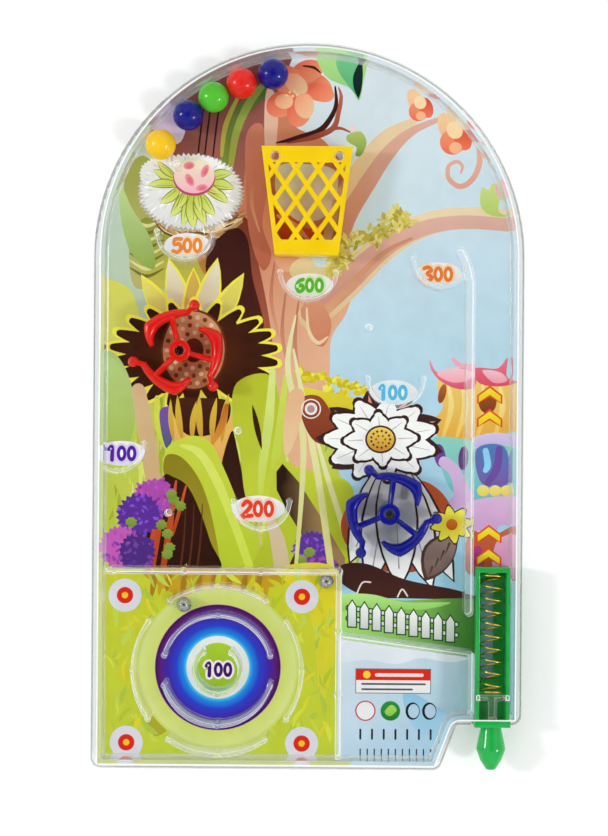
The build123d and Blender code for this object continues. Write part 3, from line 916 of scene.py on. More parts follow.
def trunk():
    """The tree's trunk and its two long branches, edged in cream."""
    blob([(-9, 82), (-11, 74), (-16, 70), (-17.6, 58), (-19.5, 47), (-19, 38), (-14, 27), (-10.5, 16),
          (-8, 4), (-6, -12), (1, -18), (3, -4), (5.5, 8), (6, 18), (10, 25), (12, 34), (10, 46), (10, 60),
          (4, 70), (-4, 74)], "#CF8163", "#E3AE8C", (-18, 50), (4, 14))
    blob([(-19.5, 50), (-15.5, 48), (-13.5, 38), (-11, 26), (-9.6, 15), (-13, 18), (-16.5, 30), (-20, 40)],
         "#7A3527", "#A85A42")
    blob([(-16.8, 72), (-12.5, 74), (-11, 60), (-12.5, 48), (-10, 40), (-12.5, 36), (-16, 46), (-17, 60)],
         "#C97B62", "#B5644C")
    blob([(-11.4, 84), (-8.6, 80), (-9.4, 66), (-11.6, 66), (-12.2, 76)], "#EBC6AE", "#E2AE94")
    for x, top, foot in ((-14.6, 62, 46), (-9.2, 38, 18), (-6.2, 30, 8), (-2.8, 28, 4)):
        stroke([(x, top), (x - 0.8, (top + foot) / 2), (x + 1.4, foot)], [0.3, 1.1, 0.3], "#B96C50",
               "#D59A78")
    blob([(-9, 39), (-2, 40.5), (6, 41), (7, 38), (0, 37), (-6, 35.5)], "#D7906F", "#E6B08C")
    blob([(-5, 37), (1, 41), (7, 40), (5, 34), (-3, 33)], "#EADBB0", "#D9C48E")
    blob([(0.5, 41.5), (6, 41.5), (6.5, 38), (2, 37)], "#CFE2EA")
    blob([(-8.6, 63), (0, 64), (7, 62), (6.6, 54), (3, 49.6), (-3, 49), (-8, 52)], "#E6ECD6", "#F6EAD2",
         (-6, 62), (2, 50))
    blob([(-9, 52.4), (-4, 49.6), (0, 47), (5, 50.6), (7.6, 54), (8.4, 47), (5, 40.6), (-4, 40), (-9, 45)],
         "#EE6A2C", "#D8501E")
    for path in (
        [(-8.4, 50.4), (-4, 47.6), (-0.6, 44.4)],
        [(1, 46.4), (4.4, 48.4), (7.4, 52)],
        [(-5.6, 43), (0, 41.6), (5, 43.4)],
    ):
        stroke(path, [0.8, 1.8, 0.8], "#FFCFA4", "#F8B884")
    # the branch that climbs to the upper right
    stroke([(6, 44), (9.5, 56), (15, 65), (20.5, 71.5), (28, 76)], [5.5, 5, 5, 4, 1.5], "#E9CFA6", "#DDB58E")
    stroke([(7, 40), (10, 50), (15.5, 59.5), (21, 67.5), (27, 73), (35, 76.5)], [4.4, 4.6, 4.4, 3.6, 2.2, 1],
           "#E0AE9A", "#C07A5C")
    # the branch that bends over to the right
    stroke([(1, 24), (10, 33), (20, 42.5), (30, 48), (41, 50.2), (56, 49.4)], [8, 8.6, 7.4, 6.2, 5.6, 5.2],
           "#EBD4AE", "#DDBB8A")
    stroke([(1, 25), (10, 33.2), (20, 42.2), (30, 47.2), (41, 49), (56, 48)], [6.6, 6.4, 5, 4, 3.6, 3.4],
           "#DDAFA0", "#CB8670")
    stroke([(2, 23), (9, 30), (19, 40.2), (27, 44.6)], [2.6, 2, 1.4, 0.6], "#C98A6A", "#DCA37C")
    blob([(-1, 27), (3, 27.5), (6, 22), (4, 16), (0.5, 18)], "#D79272", "#CC7E5C")
    stroke([(-0.6, 26), (0, 20), (2.4, 16.8), (5, 18.4)], [0.4, 0.9, 1.1, 0.4], "#E8CDA2")


def blossoms():
    """Coral flowers, leaves and the tendril in the upper part."""
    for x, y, rx, ry, turn in ((-7.5, 80, 4.4, 3.4, 30), (-3, 78, 4.2, 3.2, 80), (1.5, 84.5, 4.8, 3.4, -35),
                               (-1, 88.5, 4.4, 3, 20), (-6.5, 86.5, 4, 3.6, -10), (2.8, 83, 3.6, 2.4, -20)):
        spot((x, y, rx, ry, turn), "#E8604A", "#F59A72", (x - 3, y + 3), (x + 3, y - 3))
    for x, y, rx, ry, turn in ((-3.8, 85.2, 3.4, 2.4, -40), (-1.6, 79.5, 2.6, 3.4, 10),
                               (-7, 80.6, 2.4, 2, 0)):
        spot((x, y, rx, ry, turn), "#F6A27A", "#F7C79C", (x - 2, y + 2), (x + 2, y - 2))
    for x, y in ((-5.5, 83), (-4.7, 82), (-6.3, 82.2), (-4.2, 83.4)):
        spot((x, y, 0.32), "#F8E08A", count=10)
    stroke([(-2, 90), (0.8, 89.6), (2.6, 88.2)], [0.4, 0.8, 0.3], "#4A2019")
    stroke([(-9, 69.6), (-3, 71), (2.5, 73), (5.4, 76.4), (6.8, 80), (6.5, 84.6)],
           [0.3, 1.6, 1.6, 1.3, 1.1, 0.4], "#3E1712")
    stroke([(-6, 69.6), (1, 71.2), (6, 73.6), (7.4, 77.5), (8.1, 81.8), (7.4, 84.4)],
           [0.3, 1.5, 1.5, 1.2, 1, 0.3], "#C56C50", "#94452F")
    stroke([(5.6, 73.4), (8, 73.6), (10.5, 72.6)], [1.2, 0.8, 0.4], "#A9553D")
    blob([(1.6, 94), (9, 93.5), (14.5, 91), (14, 86), (12.8, 81), (10.4, 84.2), (5.2, 86.4), (2.6, 89.4)],
         "#B9E48C", "#8CCB7A")
    blob([(7.2, 91.8), (13, 91.6), (12.4, 86), (12.4, 82.4), (9.6, 85.4), (7.2, 89)], "#79C98C", "#4FAE79")
    blade((13.4, 91.6, 12.7, 81.4, 2.6, -0.6), "#12312B", "#0B201C")
    blob([(9.8, 71.8), (13.2, 72.8), (14.9, 70), (13.6, 66.6), (12, 66.4), (12.2, 68.6), (10, 70)], "#B6C96A",
         "#7E9C44")
    spot((11.2, 73.6, 1, 0.7), "#F6D3D6")
    for x, y, size in ((29, 79.6, 1), (38.2, 72, 1.3)):
        spot((x - 1.2 * size, y + 1.4 * size, 2 * size, 3.4 * size, 25), "#F8CF9E", "#F6B98C")
        spot((x - 0.4 * size, y - 1.4 * size, 2.6 * size, 2.6 * size), "#F49A74", "#EE6F50")
        spot((x + 1.6 * size, y - 0.4 * size, 1.8 * size, 2.8 * size, 20), "#DE4434", "#F07A58")
        spot((x, y + size, 1.6 * size, 1.8 * size, 30), "#FBD9A8")
        spot((x + 0.2 * size, y - 2.6 * size, 1.3 * size, 1.2 * size), "#F9B48A")
    stroke([(44.6, 69), (44.8, 64.5), (43, 60.4), (39.8, 58.4), (36.8, 60.4), (36.6, 63.6), (38.8, 65),
            (40.3, 63.8), (39.9, 62)], [1.3, 1.5, 1.5, 1.4, 1.2, 1.1, 1, 0.8, 0.5], "#E7B49C", "#DFA08C")
    blob([(45.4, 58), (47.4, 57.6), (48.4, 59.4), (50.4, 57), (50, 52), (52.4, 50.6), (48, 50.8),
          (45.2, 53.4)], "#CFDD86", "#B5CB6A")
    blob([(49, 59), (52.4, 60.6), (52.4, 56), (50.6, 54.8)], "#F39DB6", "#EFB9C4")


def leaf_clusters():
    """Small olive and yellow leaves along the lower branch."""
    dice = random.Random(11)
    centres = [(9.5, 41), (11.5, 43.5), (14, 45), (17, 45), (19.5, 46.8), (21.5, 49), (23.5, 50.6), (25, 49),
               (8, 38.6), (6.6, 36)]
    for x, y in centres:
        for _ in range(26):
            a = dice.uniform(0, 2 * math.pi)
            r = dice.uniform(1.7, 2.8)
            px, py = x + dice.uniform(-1.7, 1.7), y + dice.uniform(-1.4, 1.4)
            tone = dice.choice(["#D9CB6C", "#C2B04A", "#AE9C40", "#E6DB86", "#CFC25C"])
            spike(px, py, r, a, 0.9, tone)
    for x, y in ((0, 6.6), (3, 7), (6.5, 6), (9, 5), (12, 4.4), (14, 3.2), (5, 3.4), (9, 2.4), (-2, 8)):
        for _ in range(16):
            a = dice.uniform(0.1, math.pi - 0.1)
            r = dice.uniform(1.6, 3)
            tone = dice.choice(["#EADB3C", "#D8C62C", "#F1E660", "#C9B824", "#E3C72A"])
            spike(x, y, r, a, 1.2, tone)
    blob([(-3, 5), (4, 4), (15, 1.6), (17, 0), (6, -2), (-3, 0)], "#E3D43A", "#D3BE2C")


def fluffy_ball():
    """A fluffy white ball on a twig nest, with a spotted fruit among its leaves."""
    for y, width, tone in ((46.4, 4.4, "#6E4A2C"), (46.6, 3.7, "#E6CDA2"), (45.6, 1.4, "#B98E5C")):
        stroke([(-42, y + 5.4), (-37.5, y + 1), (-30, y - 0.9), (-22.6, y + 0.2), (-18, y + 3.2)],
               [0.8, width, width, width, 0.8], tone)
    dice = random.Random(12)
    for _ in range(34):
        x = dice.uniform(-41, -19)
        y = 45.6 + 0.03 * (x + 30) ** 2 + dice.uniform(-1.4, 1.6)
        length, tilt = dice.uniform(2, 5), 0.055 * (x + 30) + dice.uniform(-0.35, 0.35)
        tone = dice.choice(["#7C5232", "#A47848", "#F0DDB6", "#5E3A22", "#C9A270"])
        blade((x, y, x + length, y + length * tilt, dice.uniform(0.3, 0.6)), tone)
    tuft((-31.5, 56.2, 13.8, 10.2, 60, 0.04, 5), "#CFC8C0", "#B9AD9C")
    tuft((-31.5, 56.6, 13.2, 9.8, 64, 0.05, 6), "#F6F5F3", "#DEDCDA")
    tuft((-40, 61, 5, 4.4, 30, 0.06, 8), "#EFEEEC", "#E6E4E2")
    dice = random.Random(3)
    for _ in range(150):
        a = dice.uniform(0, 2 * math.pi)
        r = dice.uniform(0.5, 1)
        x, y = polar(-31.5, 56.4, 12.8 * r, 9.3 * r, a)
        length = dice.uniform(1.2, 2.6)
        tone = dice.choice(["#FFFFFF", "#E8E6E4", "#D6D3D0", "#F4F3F2", "#DDD8DE"])
        blade((x, y, x + length * math.cos(a), y + length * math.sin(a) - 0.4, 0.42), tone)
    for x0, y0, x1, y1, width, bend in (
        (-33, 60, -41.6, 62.4, 2.2, 0.8), (-34, 58, -43, 58.2, 2, -0.6), (-34, 58, -39.6, 53.4, 2.2, 0.5),
        (-33, 57, -36.8, 49.8, 2.4, 0.6), (-32, 56.6, -33.6, 47.4, 2.6, 0.5),
        (-31, 56.4, -30.6, 46.6, 2.8, -0.4), (-30, 56.4, -27.4, 47.6, 2.6, -0.5),
        (-29, 56.6, -25, 50.2, 2.4, -0.5), (-28, 57.4, -21.4, 53.6, 2.3, 0.5),
        (-27.4, 58.6, -19.8, 57.4, 2.4, 0.6), (-27, 60, -20.6, 61.6, 2.2, 0.4),
        (-35, 60, -40.4, 64.6, 1.6, 0.4), (-32.6, 57, -35, 52, 1.6, 0.4), (-29.8, 57, -28.8, 51, 1.8, -0.3),
        (-28.6, 58, -23.4, 56, 1.6, 0.3),
    ):
        blade((x0, y0, x1, y1, width + 0.6, bend), "#8C8A2E")
        blade((x0, y0, x1, y1, width, bend), "#E2E98A", "#B4C434", (x1, y1), (x0, y0))
        stroke([((x0 * 3 + x1) / 4, (y0 * 3 + y1) / 4), ((x0 + 3 * x1) / 4, (y0 + 3 * y1) / 4)], [0.25, 0.1],
               "#8FA02C")
    spot((-30.6, 60.2, 5.6, 4.8), "#B9486A")
    spot((-30.6, 60.8, 5.4, 4.7), "#F3EBC8", "#F2B6C6", (-30, 65), (-30, 56.4))
    for x, y, rx, ry, turn in ((-32, 63.4, 1.5, 1, 10), (-27.8, 62, 0.9, 1.8, -25), (-31.8, 59.6, 1, 1.8, 30),
                               (-28.6, 57.6, 1.6, 0.9, 10)):
        spot((x, y, rx, ry, turn), "#EE8F9C")
        spot((x + 0.1, y - 0.1, rx * 0.6, ry * 0.6, turn), "#E4707F")


def flower_head(x, y, rx, ry, count, width, tone, fade, edge=None, edge_width=0.9, turn=0):
    """Petals all the way round, each a rounded leaf, with an edge in another colour behind them."""
    for grow, first, last in ((edge_width, edge, edge), (0, tone, fade)):
        if first is None:
            continue
        for k in range(count):
            a = math.radians(turn + 360 * k / count)
            tip = polar(x, y, rx + grow, ry + grow, a)
            middle = polar(x, y, rx * 0.66, ry * 0.66, a)
            stroke([(x, y), middle, tip], [width * 0.5, width + 2 * grow, width * 0.45 + grow], first, last,
                   (x, y), tip)


def brown_flower():
    """A wide dark flower edged in yellow, with pale leaves above it and a peach seed head."""
    blob([(-26, 42), (-20, 47), (-16.4, 44), (-15, 34), (-12, 20), (-20, 22), (-27, 34)], "#3A1813",
         "#4A1F18")
    for x1, y1, width, tone in (
        (-44.5, 34, 5.4, "#E9DF66"),
        (-37.2, 38.4, 5.8, "#EBE0C4"),
        (-30.6, 36, 5.2, "#D8B04C"),
        (-24.2, 38.6, 5.6, "#EADFC2"),
        (-17.2, 34.6, 5, "#E6DC5E"),
    ):
        blade((-30.5, 12, x1, y1 + 0.6, width + 1.4), "#F0E64C")
        blade((-30.5, 12, x1, y1, width), tone, "#B9A06A", (x1, y1), (-30.5, 14))
    flower_head(-30.4, 13.4, 21.6, 13.4, 22, 4, "#64301A", "#321508", "#F2E84C", 0.8, 8)
    flower_head(-30.4, 13.4, 15.6, 10.8, 15, 4.2, "#713A1C", "#3E1A0A")
    spot((-30.4, 14.6, 8.8, 10.8), "#7A4226", "#5E2C1A")
    spot((-30.4, 14.6, 8.2, 10.2), "#E6AE7C", "#C98458")
    for ring, count in ((0.86, 22), (0.66, 17), (0.46, 12)):
        for k in range(count):
            a = 2 * math.pi * k / count + ring
            spot((*polar(-30.4, 14.6, 8.2 * ring, 10.2 * ring, a), 0.62), "#8A4A2C" if k % 2 else "#F3DDB4",
                 count=10)
    spot((-30.4, 14.6, 2.6, 3.2), "#7A3A22", "#5A2414")


def vines():
    """Lime vines, the arched root over the hollow, and the purple bushes."""
    blob([(-52, 14), (-47, 6), (-46, -6), (-50, -12), (-60, -10), (-60, 12)], "#B7D486", "#A5B84A")
    stroke([(-45, 4), (-42.6, -8), (-40.5, -22)], [3.6, 4.6, 4], "#D9B98C", "#C9A672")
    stroke([(-40, 2), (-39.4, -6), (-36.8, -12)], [1.2, 2.2, 1.4], "#D6DE52", "#C6D03C")
    blob([(-39, -1), (-35, -1), (-35.6, -8), (-37.4, -11.4), (-39, -6)], "#7A4FB0", "#4E5A6E")
    blob([(-35, -1.5), (-21, -2), (-20, -9), (-23, -17), (-30, -13), (-35.6, -8)], "#E8BC5C", "#DFA45C")
    blob([(-36, 1), (-28, 2), (-21, 1), (-21.6, -5), (-27, -8), (-33, -7)], "#4A2414", "#2E140C")
    for x0, x1, y1, w in ((-35.4, -36.4, 1.8, 1.4), (-33, -34.6, 2.8, 1.7), (-30.6, -29.6, 1.2, 1.6),
                          (-28, -28.8, 3, 1.8), (-25.4, -24.2, 2.2, 1.7), (-22.8, -21, 3.2, 1.8)):
        blade((x0, -10, x1, y1, w, 0.4), "#DCC23C", "#C98F3C", (x1, y1), (x0, -10))
    stroke([(-21.6, 0), (-23.2, -6), (-26, -11)], [1.2, 2, 0.6], "#B9651F", "#D9923C")
    blob([(-20.4, -7), (-19, -10), (-16.4, -24), (-18, -26), (-21, -22), (-23, -17)], "#2E130E", "#3A1A12")
    blob([(-19, 6), (-10, 8), (-7, -4), (-8, -18), (-10, -26), (-16, -25), (-18, -12), (-20, -4)], "#B6BE2E",
         "#C2CC3C")
    stroke([(-9.5, 9), (-10.4, -4), (-12, -16), (-12.6, -26)], [1.6, 2.6, 2.2, 0.8], "#D9E488", "#C3D24C")
    stroke([(-6, 8), (-7.4, -6), (-9, -20), (-8, -30)], [1.2, 2.4, 2.4, 1], "#CFDB5C", "#B7C436")
    blade((-14.8, 0.4, -12.2, -11.6, 1.5), "#3A1D10")
    blob([(-37.6, -12), (-35, -9.4), (-30, -8), (-25.6, -10), (-22, -17), (-18.6, -25), (-14.6, -34),
          (-11, -44), (-25, -44), (-29, -32), (-33, -20), (-38, -17)], "#C9D544", "#B5C42C")
    stroke([(-33.5, -10.6), (-28.6, -12.6), (-24, -20), (-19.4, -31), (-15, -43)], [0.8, 2.2, 2.4, 2.2, 2.2],
           "#DBE56A", "#CBD84A")
    blob([(-37.6, -13.4), (-33.6, -13.6), (-29, -19), (-25.6, -28), (-23, -43), (-26.4, -43), (-29, -32),
          (-33, -21), (-37.8, -18.6)], "#8C7E1E", "#A39426")
    blob([(-38.6, -19.4), (-35.4, -19), (-31.6, -21.6), (-28.4, -28), (-25.6, -36), (-23.6, -44), (-44, -44),
          (-42.4, -33)], "#36160D", "#2A1109")
    for x, top, foot, w in ((-39.4, -20.4, -44, 1.9), (-36.4, -20, -44, 1.7), (-33.8, -21.4, -34, 1),
                            (-41, -27, -44, 1.4)):
        stroke([(x + 1.6, top), (x, (top + foot) / 2), (x - 1.8, foot)], [0.5, w, w * 0.9], "#C9562A",
               "#A83E1C")
    for x in (-32.2, -30, -27.8):
        stroke([(x, -26), (x - 0.4, -35), (x - 1.4, -44)], [0.2, 0.5, 0.6], "#5A2A18")
    blob([(-8.6, -15), (-3, -16), (4, -18), (12, -22), (12, -44), (-13, -44), (-11, -34)], "#C2CB3A",
         "#AEB92C")
    stroke([(-10.4, -29), (-8, -35), (-6.4, -44)], [1.6, 3.8, 4.6], "#DCC3A2", "#C9B489")
    art.ink([(-8.3, -17.4), (-6.7, -15.2), (-2.4, -20), (3.2, -28.6), (10, -40), (10, -44), (5, -44),
             (-0.6, -35.4), (-5.4, -27.6), (-8.2, -22.2)], "#9A7A50", "#2A1508", (3.6, -27), (-5.6, -27.4))
    blob([(0.4, -33.6), (5, -38.4), (9, -44), (-4, -44), (-2.8, -38)], "#5A3420", "#3A2414")
    dice = random.Random(21)
    for x, y, rx, ry, tones in (
        (-40.5, -24, 5.4, 4.4, ["#B23FA4", "#C252B4", "#9B3496", "#A84BA8"]),
        (-44.5, -29, 5.8, 5.4, ["#7A3FC0", "#6835A8", "#8A4FD0", "#5A2F94"]),
        (-49.5, -37.6, 5, 5.6, ["#B84FB8", "#9F3FA6", "#7440A8", "#C45CB4"]),
        (-45, -39, 4.6, 5.2, ["#5F3394", "#74409F", "#8C4CA8", "#4E2C7C"]),
        (1.2, -37.4, 4.6, 4.2, ["#7E45BE", "#6A38A8", "#9452C4", "#5A3590"]),
        (2.4, -42, 5.4, 2.6, ["#8C3F9C", "#A24CA8", "#6E3590"]),
    ):
        tuft((x, y, rx, ry, 22, 0.1, dice.randint(0, 999)), tones[-1])
        for _ in range(46):
            a, r = dice.uniform(0, 2 * math.pi), math.sqrt(dice.uniform(0, 1))
            px, py = polar(x, y, rx * r, ry * r, a)
            b, size = dice.uniform(0, 2 * math.pi), dice.uniform(0.9, 1.7)
            spike(px, py, size, b, size * 0.55, dice.choice(tones))
    for x, y in ((-46.6, -31), (-37, -34), (-36.4, -37.6), (-38.6, -31.6), (-35.4, -25), (-33.6, -26.6),
                 (-36, -23.6), (-37, -39.4), (0.6, -38.6), (-1.6, -40.6)):
        tuft((x, y, 1.5, 1.3, 8, 0.14, int(x * 7 + y)), "#8DA23A", "#6E8A34")


def streaks():
    """Pale bending blades round the middle of the card."""
    for path, widths in (
        ([(-3.5, 24), (-5.5, 10), (-1.6, -6), (-1.4, -20), (-3, -43)], [0.4, 1.6, 1.8, 1.4, 0.9]),
        ([(-4, 15), (-1, 0), (2.6, -18), (6.4, -43)], [0.5, 1.6, 1.8, 1.8]),
        ([(1, -4), (5, -18), (9.5, -32), (13, -43)], [0.4, 1.4, 1.6, 1.2]),
    ):
        stroke(path, widths, "#E6E2AE", "#D6D284")
    blob([(-2, 2), (3, 2.6), (6.6, -3), (7.4, -9.6), (2, -9.4), (-1.4, -4)], "#9A4A2C", "#7C3420")
    blob([(-4.6, 4), (-1, 3), (-3, -8), (-6, -13), (-6.4, -4)], "#E8B48A", "#E9C69A")


def white_flower():
    """A large white flower with a dark outline over a fan of long white petals, and a small yellow one."""
    outline, white, shade = "#3A211E", "#F7F6F4", "#DDDCDA"
    blob([(14, -40), (10, -36), (9, -30), (13, -24), (24, -20), (32, -20), (38, -27), (36, -40), (24, -44)],
         "#C0552E", "#9C4A2A")
    for k in range(9):
        a = math.radians(22 + 40 * k)
        x1, y1 = polar(19.2, -8, 17.4, 12.6, a)
        blade((19.2, -8, x1, y1, 6.4, 0.5), "#3F2422")
        blade((19.2, -8, x1 + (19.2 - x1) * 0.1, y1 + (-8 - y1) * 0.1, 1.5, 0.4), "#EE9484", "#E07C70")
    for x1, y1, width in ((11.4, -41, 8.2), (38.6, -45.6, 8), (16.6, -47, 9.4), (33, -47.6, 9.4),
                          (24.6, -47.6, 10.4)):
        blade((22.6, -12, x1 + (x1 - 22.6) * 0.03, y1 - 0.8, width + 1.2), outline)
        blade((22.6, -12, x1, y1, width), white, "#C9C6C6", (x1, y1), (22.6, -18))
        path = [(22.6 + (x1 - 22.6) * share, -12 + (y1 + 12) * share) for share in (0.5, 0.86)]
        stroke(path, [0.15, 0.4], "#9C9896")
    x, y = 19.2, -8.6
    for count, rx, ry, width, turn in ((11, 14.4, 10.4, 6.6, 16), (8, 9.4, 6.8, 5.2, 4)):
        flower_head(x, y, rx, ry, count, width + 0.9, outline, outline, turn=turn)
        for k in range(count):
            a = math.radians(turn + 360 * k / count)
            tip = polar(x, y, rx - 0.7, ry - 0.7, a)
            middle = polar(x, y, rx * 0.64, ry * 0.64, a)
            stroke([(x, y), middle, tip], [width * 0.4, width - 0.3, width * 0.42], shade, white, (x, y),
                   middle)
            stroke([(x + (middle[0] - x) * 0.8, y + (middle[1] - y) * 0.8), tip], [0.3, 0.1], "#B4B0AE")
    spot((x, y, 4.1, 3.7), "#4A2A24")
    spot((x, y, 3.6, 3.2), "#F2D45E", "#C98A34")
    for count, rx, ry, size, tone in ((13, 2.5, 2.2, 0.34, "#6E3C22"), (6, 1.2, 1, 0.3, "#8A5A2C")):
        for k in range(count):
            spot((*polar(x, y, rx, ry, 2 * math.pi * k / count), size), tone, count=10)
    # a yellow flower on a grey-brown leaf
    blade((39.6, -33, 31.2, -46, 8.4, -1), "#4F3833")
    blade((39.2, -33.8, 31.8, -45, 7.2, -0.8), "#9A827A", "#6F5550")
    for k in range(4):
        stroke([(37.6 - 1.5 * k, -36 - 2.1 * k), (36.6 - 1.4 * k, -38.6 - 1.9 * k)], [0.7, 0.2], "#54413C")
    flower_head(38.2, -31, 4.9, 4.4, 8, 2.5, "#E2C42C", "#F4EC52", "#4A3420", 0.35, 10)
    spot((38.2, -31, 1.5), "#D9772A", "#B8521C")
    # roots
    blob([(9, -42), (16, -41.6), (26, -45.6), (40, -48.4), (44, -50.6), (26, -50.6), (16, -50.2), (9, -46.5)],
         "#3A1F1C", "#46241E")
    stroke([(13, -50), (14.6, -46.6), (16.8, -46.4)], 0.4, "#E6DCD2")
    stroke([(24, -50.2), (25.2, -48.2), (26.6, -50)], 0.4, "#E6DCD2")


def painted_bands():
    """Pink, yellow, mint and lilac bands behind the lane."""
    blob([(34, 6), (36, 8.6), (46, 7.6), (54, 6.4), (60, 0), (58, -8), (46, -8.6), (36, -9), (33, -4),
          (35.6, 0)], "#F3CF72", "#E2A63C")
    for x in (37, 40.6, 46, 50.6):
        stroke([(x, 6), (x + 0.8, 0), (x - 1.2, -7.6)], [0.6, 1.6, 0.8], "#F8E39A", "#EEC458")
    spot((47.4, 1.6, 2.4, 3.2), "#A2542A", "#7E3A1C")
    spot((35.4, 3.6, 1, 2.6, -14), "#B0602E", "#8C4420")
    blob([(33.4, -8), (45, -8.6), (58, -7), (60, -24), (52, -25), (43, -25), (38, -22), (35, -15)], "#8FD0BA",
         "#6FB9C6")
    spot((34.9, -12.8, 1.5, 3.1, 8), "#5E3F8C", "#7A4A9C")
    spot((41, -13.4, 1.2, 3.1, -4), "#6A3F7C")
    blob([(44, -8), (50, -6.6), (58, -8), (58, -11), (50, -9.8), (44.4, -11)], "#D6C6E6", "#C7B4DC")
    blob([(44.6, -11), (52, -10.4), (53, -20), (46, -20)], "#4E7DB8", "#7A5AA8")
    stroke([(47, -11.4), (47.6, -15), (47, -16.6)], [1.6, 1.8, 1.4], "#8FD0F0")
    stroke([(50.6, -11), (50, -16), (47.6, -20)], [1.8, 2.2, 1.6], "#6E4FA0")
    for x in (46.4, 49.6, 52.6):
        spot((x, -22, 1.6, 1.5), "#F3E37C", "#E8C95A")
    blob([(34.6, -15), (37.6, -18), (38.6, -23), (36.6, -26), (42, -27), (43.4, -24), (40, -16), (36, -13)],
         "#D9B7DC", "#C9A2CE")
    blob([(43.4, -24.6), (58, -24), (60, -34), (52, -31), (49, -33.4), (45, -32.6), (42.6, -36), (40.6, -28)],
         "#DDB4D8", "#C896C8")
    blob([(42.6, -33), (49, -33.8), (58, -30.6), (60, -44), (42.6, -44)], "#C8663A", "#B8443C")
    blob([(43, -38), (46, -37), (46.6, -44), (43, -44)], "#B23C7C", "#8C2F6C")
    blob([(50.4, -35), (58, -34), (58, -44), (49.6, -44)], "#E6A7C8", "#D487B0")
    # roofs
    blob([(32, 12.6), (33.6, 9.6), (36.4, 8.8), (40, 10.4), (44, 10.2), (44, 5.6), (40, 4.8), (35.4, 6.6),
          (32.6, 9.6)], "#F08FA4", "#D9506E")
    blob([(34, 8.8), (38, 10.4), (43, 9.4), (42, 7.2), (38, 6.6)], "#F9C7CF", "#F3A3B4")
    blob([(38, 13.4), (39, 11), (44, 9.8), (44, 11.4), (40.6, 11.6)], "#F6A9B8")
    blob([(44.2, 10.4), (50, 10.4), (52.6, 13.2), (52.4, 8.4), (54.6, 6.6), (50, 5.6), (45, 6.6)], "#F07A8C",
         "#DD4C62")
    blob([(46, 9.8), (50.6, 9.4), (52.6, 7.2), (49, 6.6)], "#F9C4CE", "#F39AAC")
    # four arrows that point up the lane
    for y in (2.6, -3.6, -34.2, -40.2):
        for grow, tone, fade in ((0.45, "#E2552A", "#DD4A24"), (0, "#F7E233", "#EFC922")):
            art.ink([(48 - 2.9 - grow, y - 1.2 - grow), (48 - 2.9 - grow, y + 0.5 + grow * 0.4),
                     (48, y + 2.6 + grow * 1.5), (48 + 2.9 + grow, y + 0.5 + grow * 0.4), (48 + 2.9 + grow,
                    y - 1.2 - grow * 1.1), (48, y + 0.8 - grow * 1.2)], tone, fade)


def grass_band():
    """Grass under the roots, with a white picket fence."""
    art.ink([(8, -49.4), (16, -50.4), (26, -51.2), (36, -50.6), (45, -50.4), (45, -67), (8, -61)], "#A9DC72",
            "#3C7A30", (12, -50), (42, -62))
    blob([(9, -50), (17, -49.6), (26, -51.6), (38, -51.6), (30, -53.6), (18, -53), (9, -54)], "#B9E48A",
         "#8CCB5C")
    for rise in (1.4, -1.4):
        for grow, tone in ((0.35, "#1E4A22"), (0, "#D9DAD4")):
            stroke([(11, -54.6 + rise), (25, -56.6 + rise), (39.6, -58.8 + rise)], 0.9 + 2 * grow, tone)
    for k in range(9):
        x, y = 12 + 3.25 * k, -54.9 - 0.47 * k
        for grow, tone, fade in ((0.35, "#1E4A22", "#1E4A22"), (0, "#F4F3F0", "#C9CBC6")):
            art.ink([(x - 1 - grow, y - 3.2 - grow), (x + 1 + grow, y - 3.3 - grow), (x + 1 + grow, y + 1.9),
                     (x, y + 3.5 + grow * 1.6), (x - 1 - grow, y + 2)], tone, fade)


def corner_panel():
    """Pale sky in the lower right corner, with a plain notice panel and round marks and no words."""
    art.ink([(7, -60), (44, -65), (44, -82), (38, -100), (7, -100)], "#D4DEE6", "#A6C9E0", (10, -62),
            (36, -92))
    blob([(9, -62), (24, -63), (42, -66), (38, -67.4), (30, -66.4), (24, -68), (16, -67), (9, -67.4)],
         "#E6E6EC", "#DDE4EC")
    blob([(26, -75), (36, -80), (40, -82), (36, -90), (28, -84)], "#8FC0E0", "#A9D0E6")
    box(13, -69.2, 33, -75.8, "#6A6A6E")
    box(13.2, -69.4, 32.8, -75.6, "#EDEAEA")
    box(13.2, -69.4, 32.8, -72.3, "#DC2A1E")
    spot((16, -70.85, 1), "#F6D23A")
    stroke([(18.6, -70.9), (30.6, -70.9)], 0.9, "#F3DAD4")
    stroke([(14.8, -73.3), (31.4, -73.3)], 0.5, "#55555A")
    stroke([(14.8, -74.7), (28, -74.7)], 0.5, "#55555A")
    art.rings(15.7, -80.4, [(2.7, "#C8343A"), (2.35, "#C8343A")])
    spot((15.7, -80.4, 2.35), "#E9E7E8")
    spot((22.3, -80.4, 2.6), "#2E8C3C", "#1E7A2E")
    blob([(20.8, -80.6), (22.6, -78.8), (24, -80.2), (22.2, -81.8)], "#A6D25A", "#8CC24A")
    for x in (28.2, 32.6):
        spot((x, -80.4, 1.9, 2.3), "#1C2226")
        spot((x + 0.25, -80.4, 1.45, 1.85), "#B4CDE0")
    for y, size, marks in ((-86.6, 1.5, 7), (-91.3, 0.95, 11)):
        for k in range(marks):
            x = 14.4 + k * 18.6 / (marks - 1)
            stroke([(x, y - size * 0.8), (x, y + size * 0.8)], size * 0.36, "#23272B")


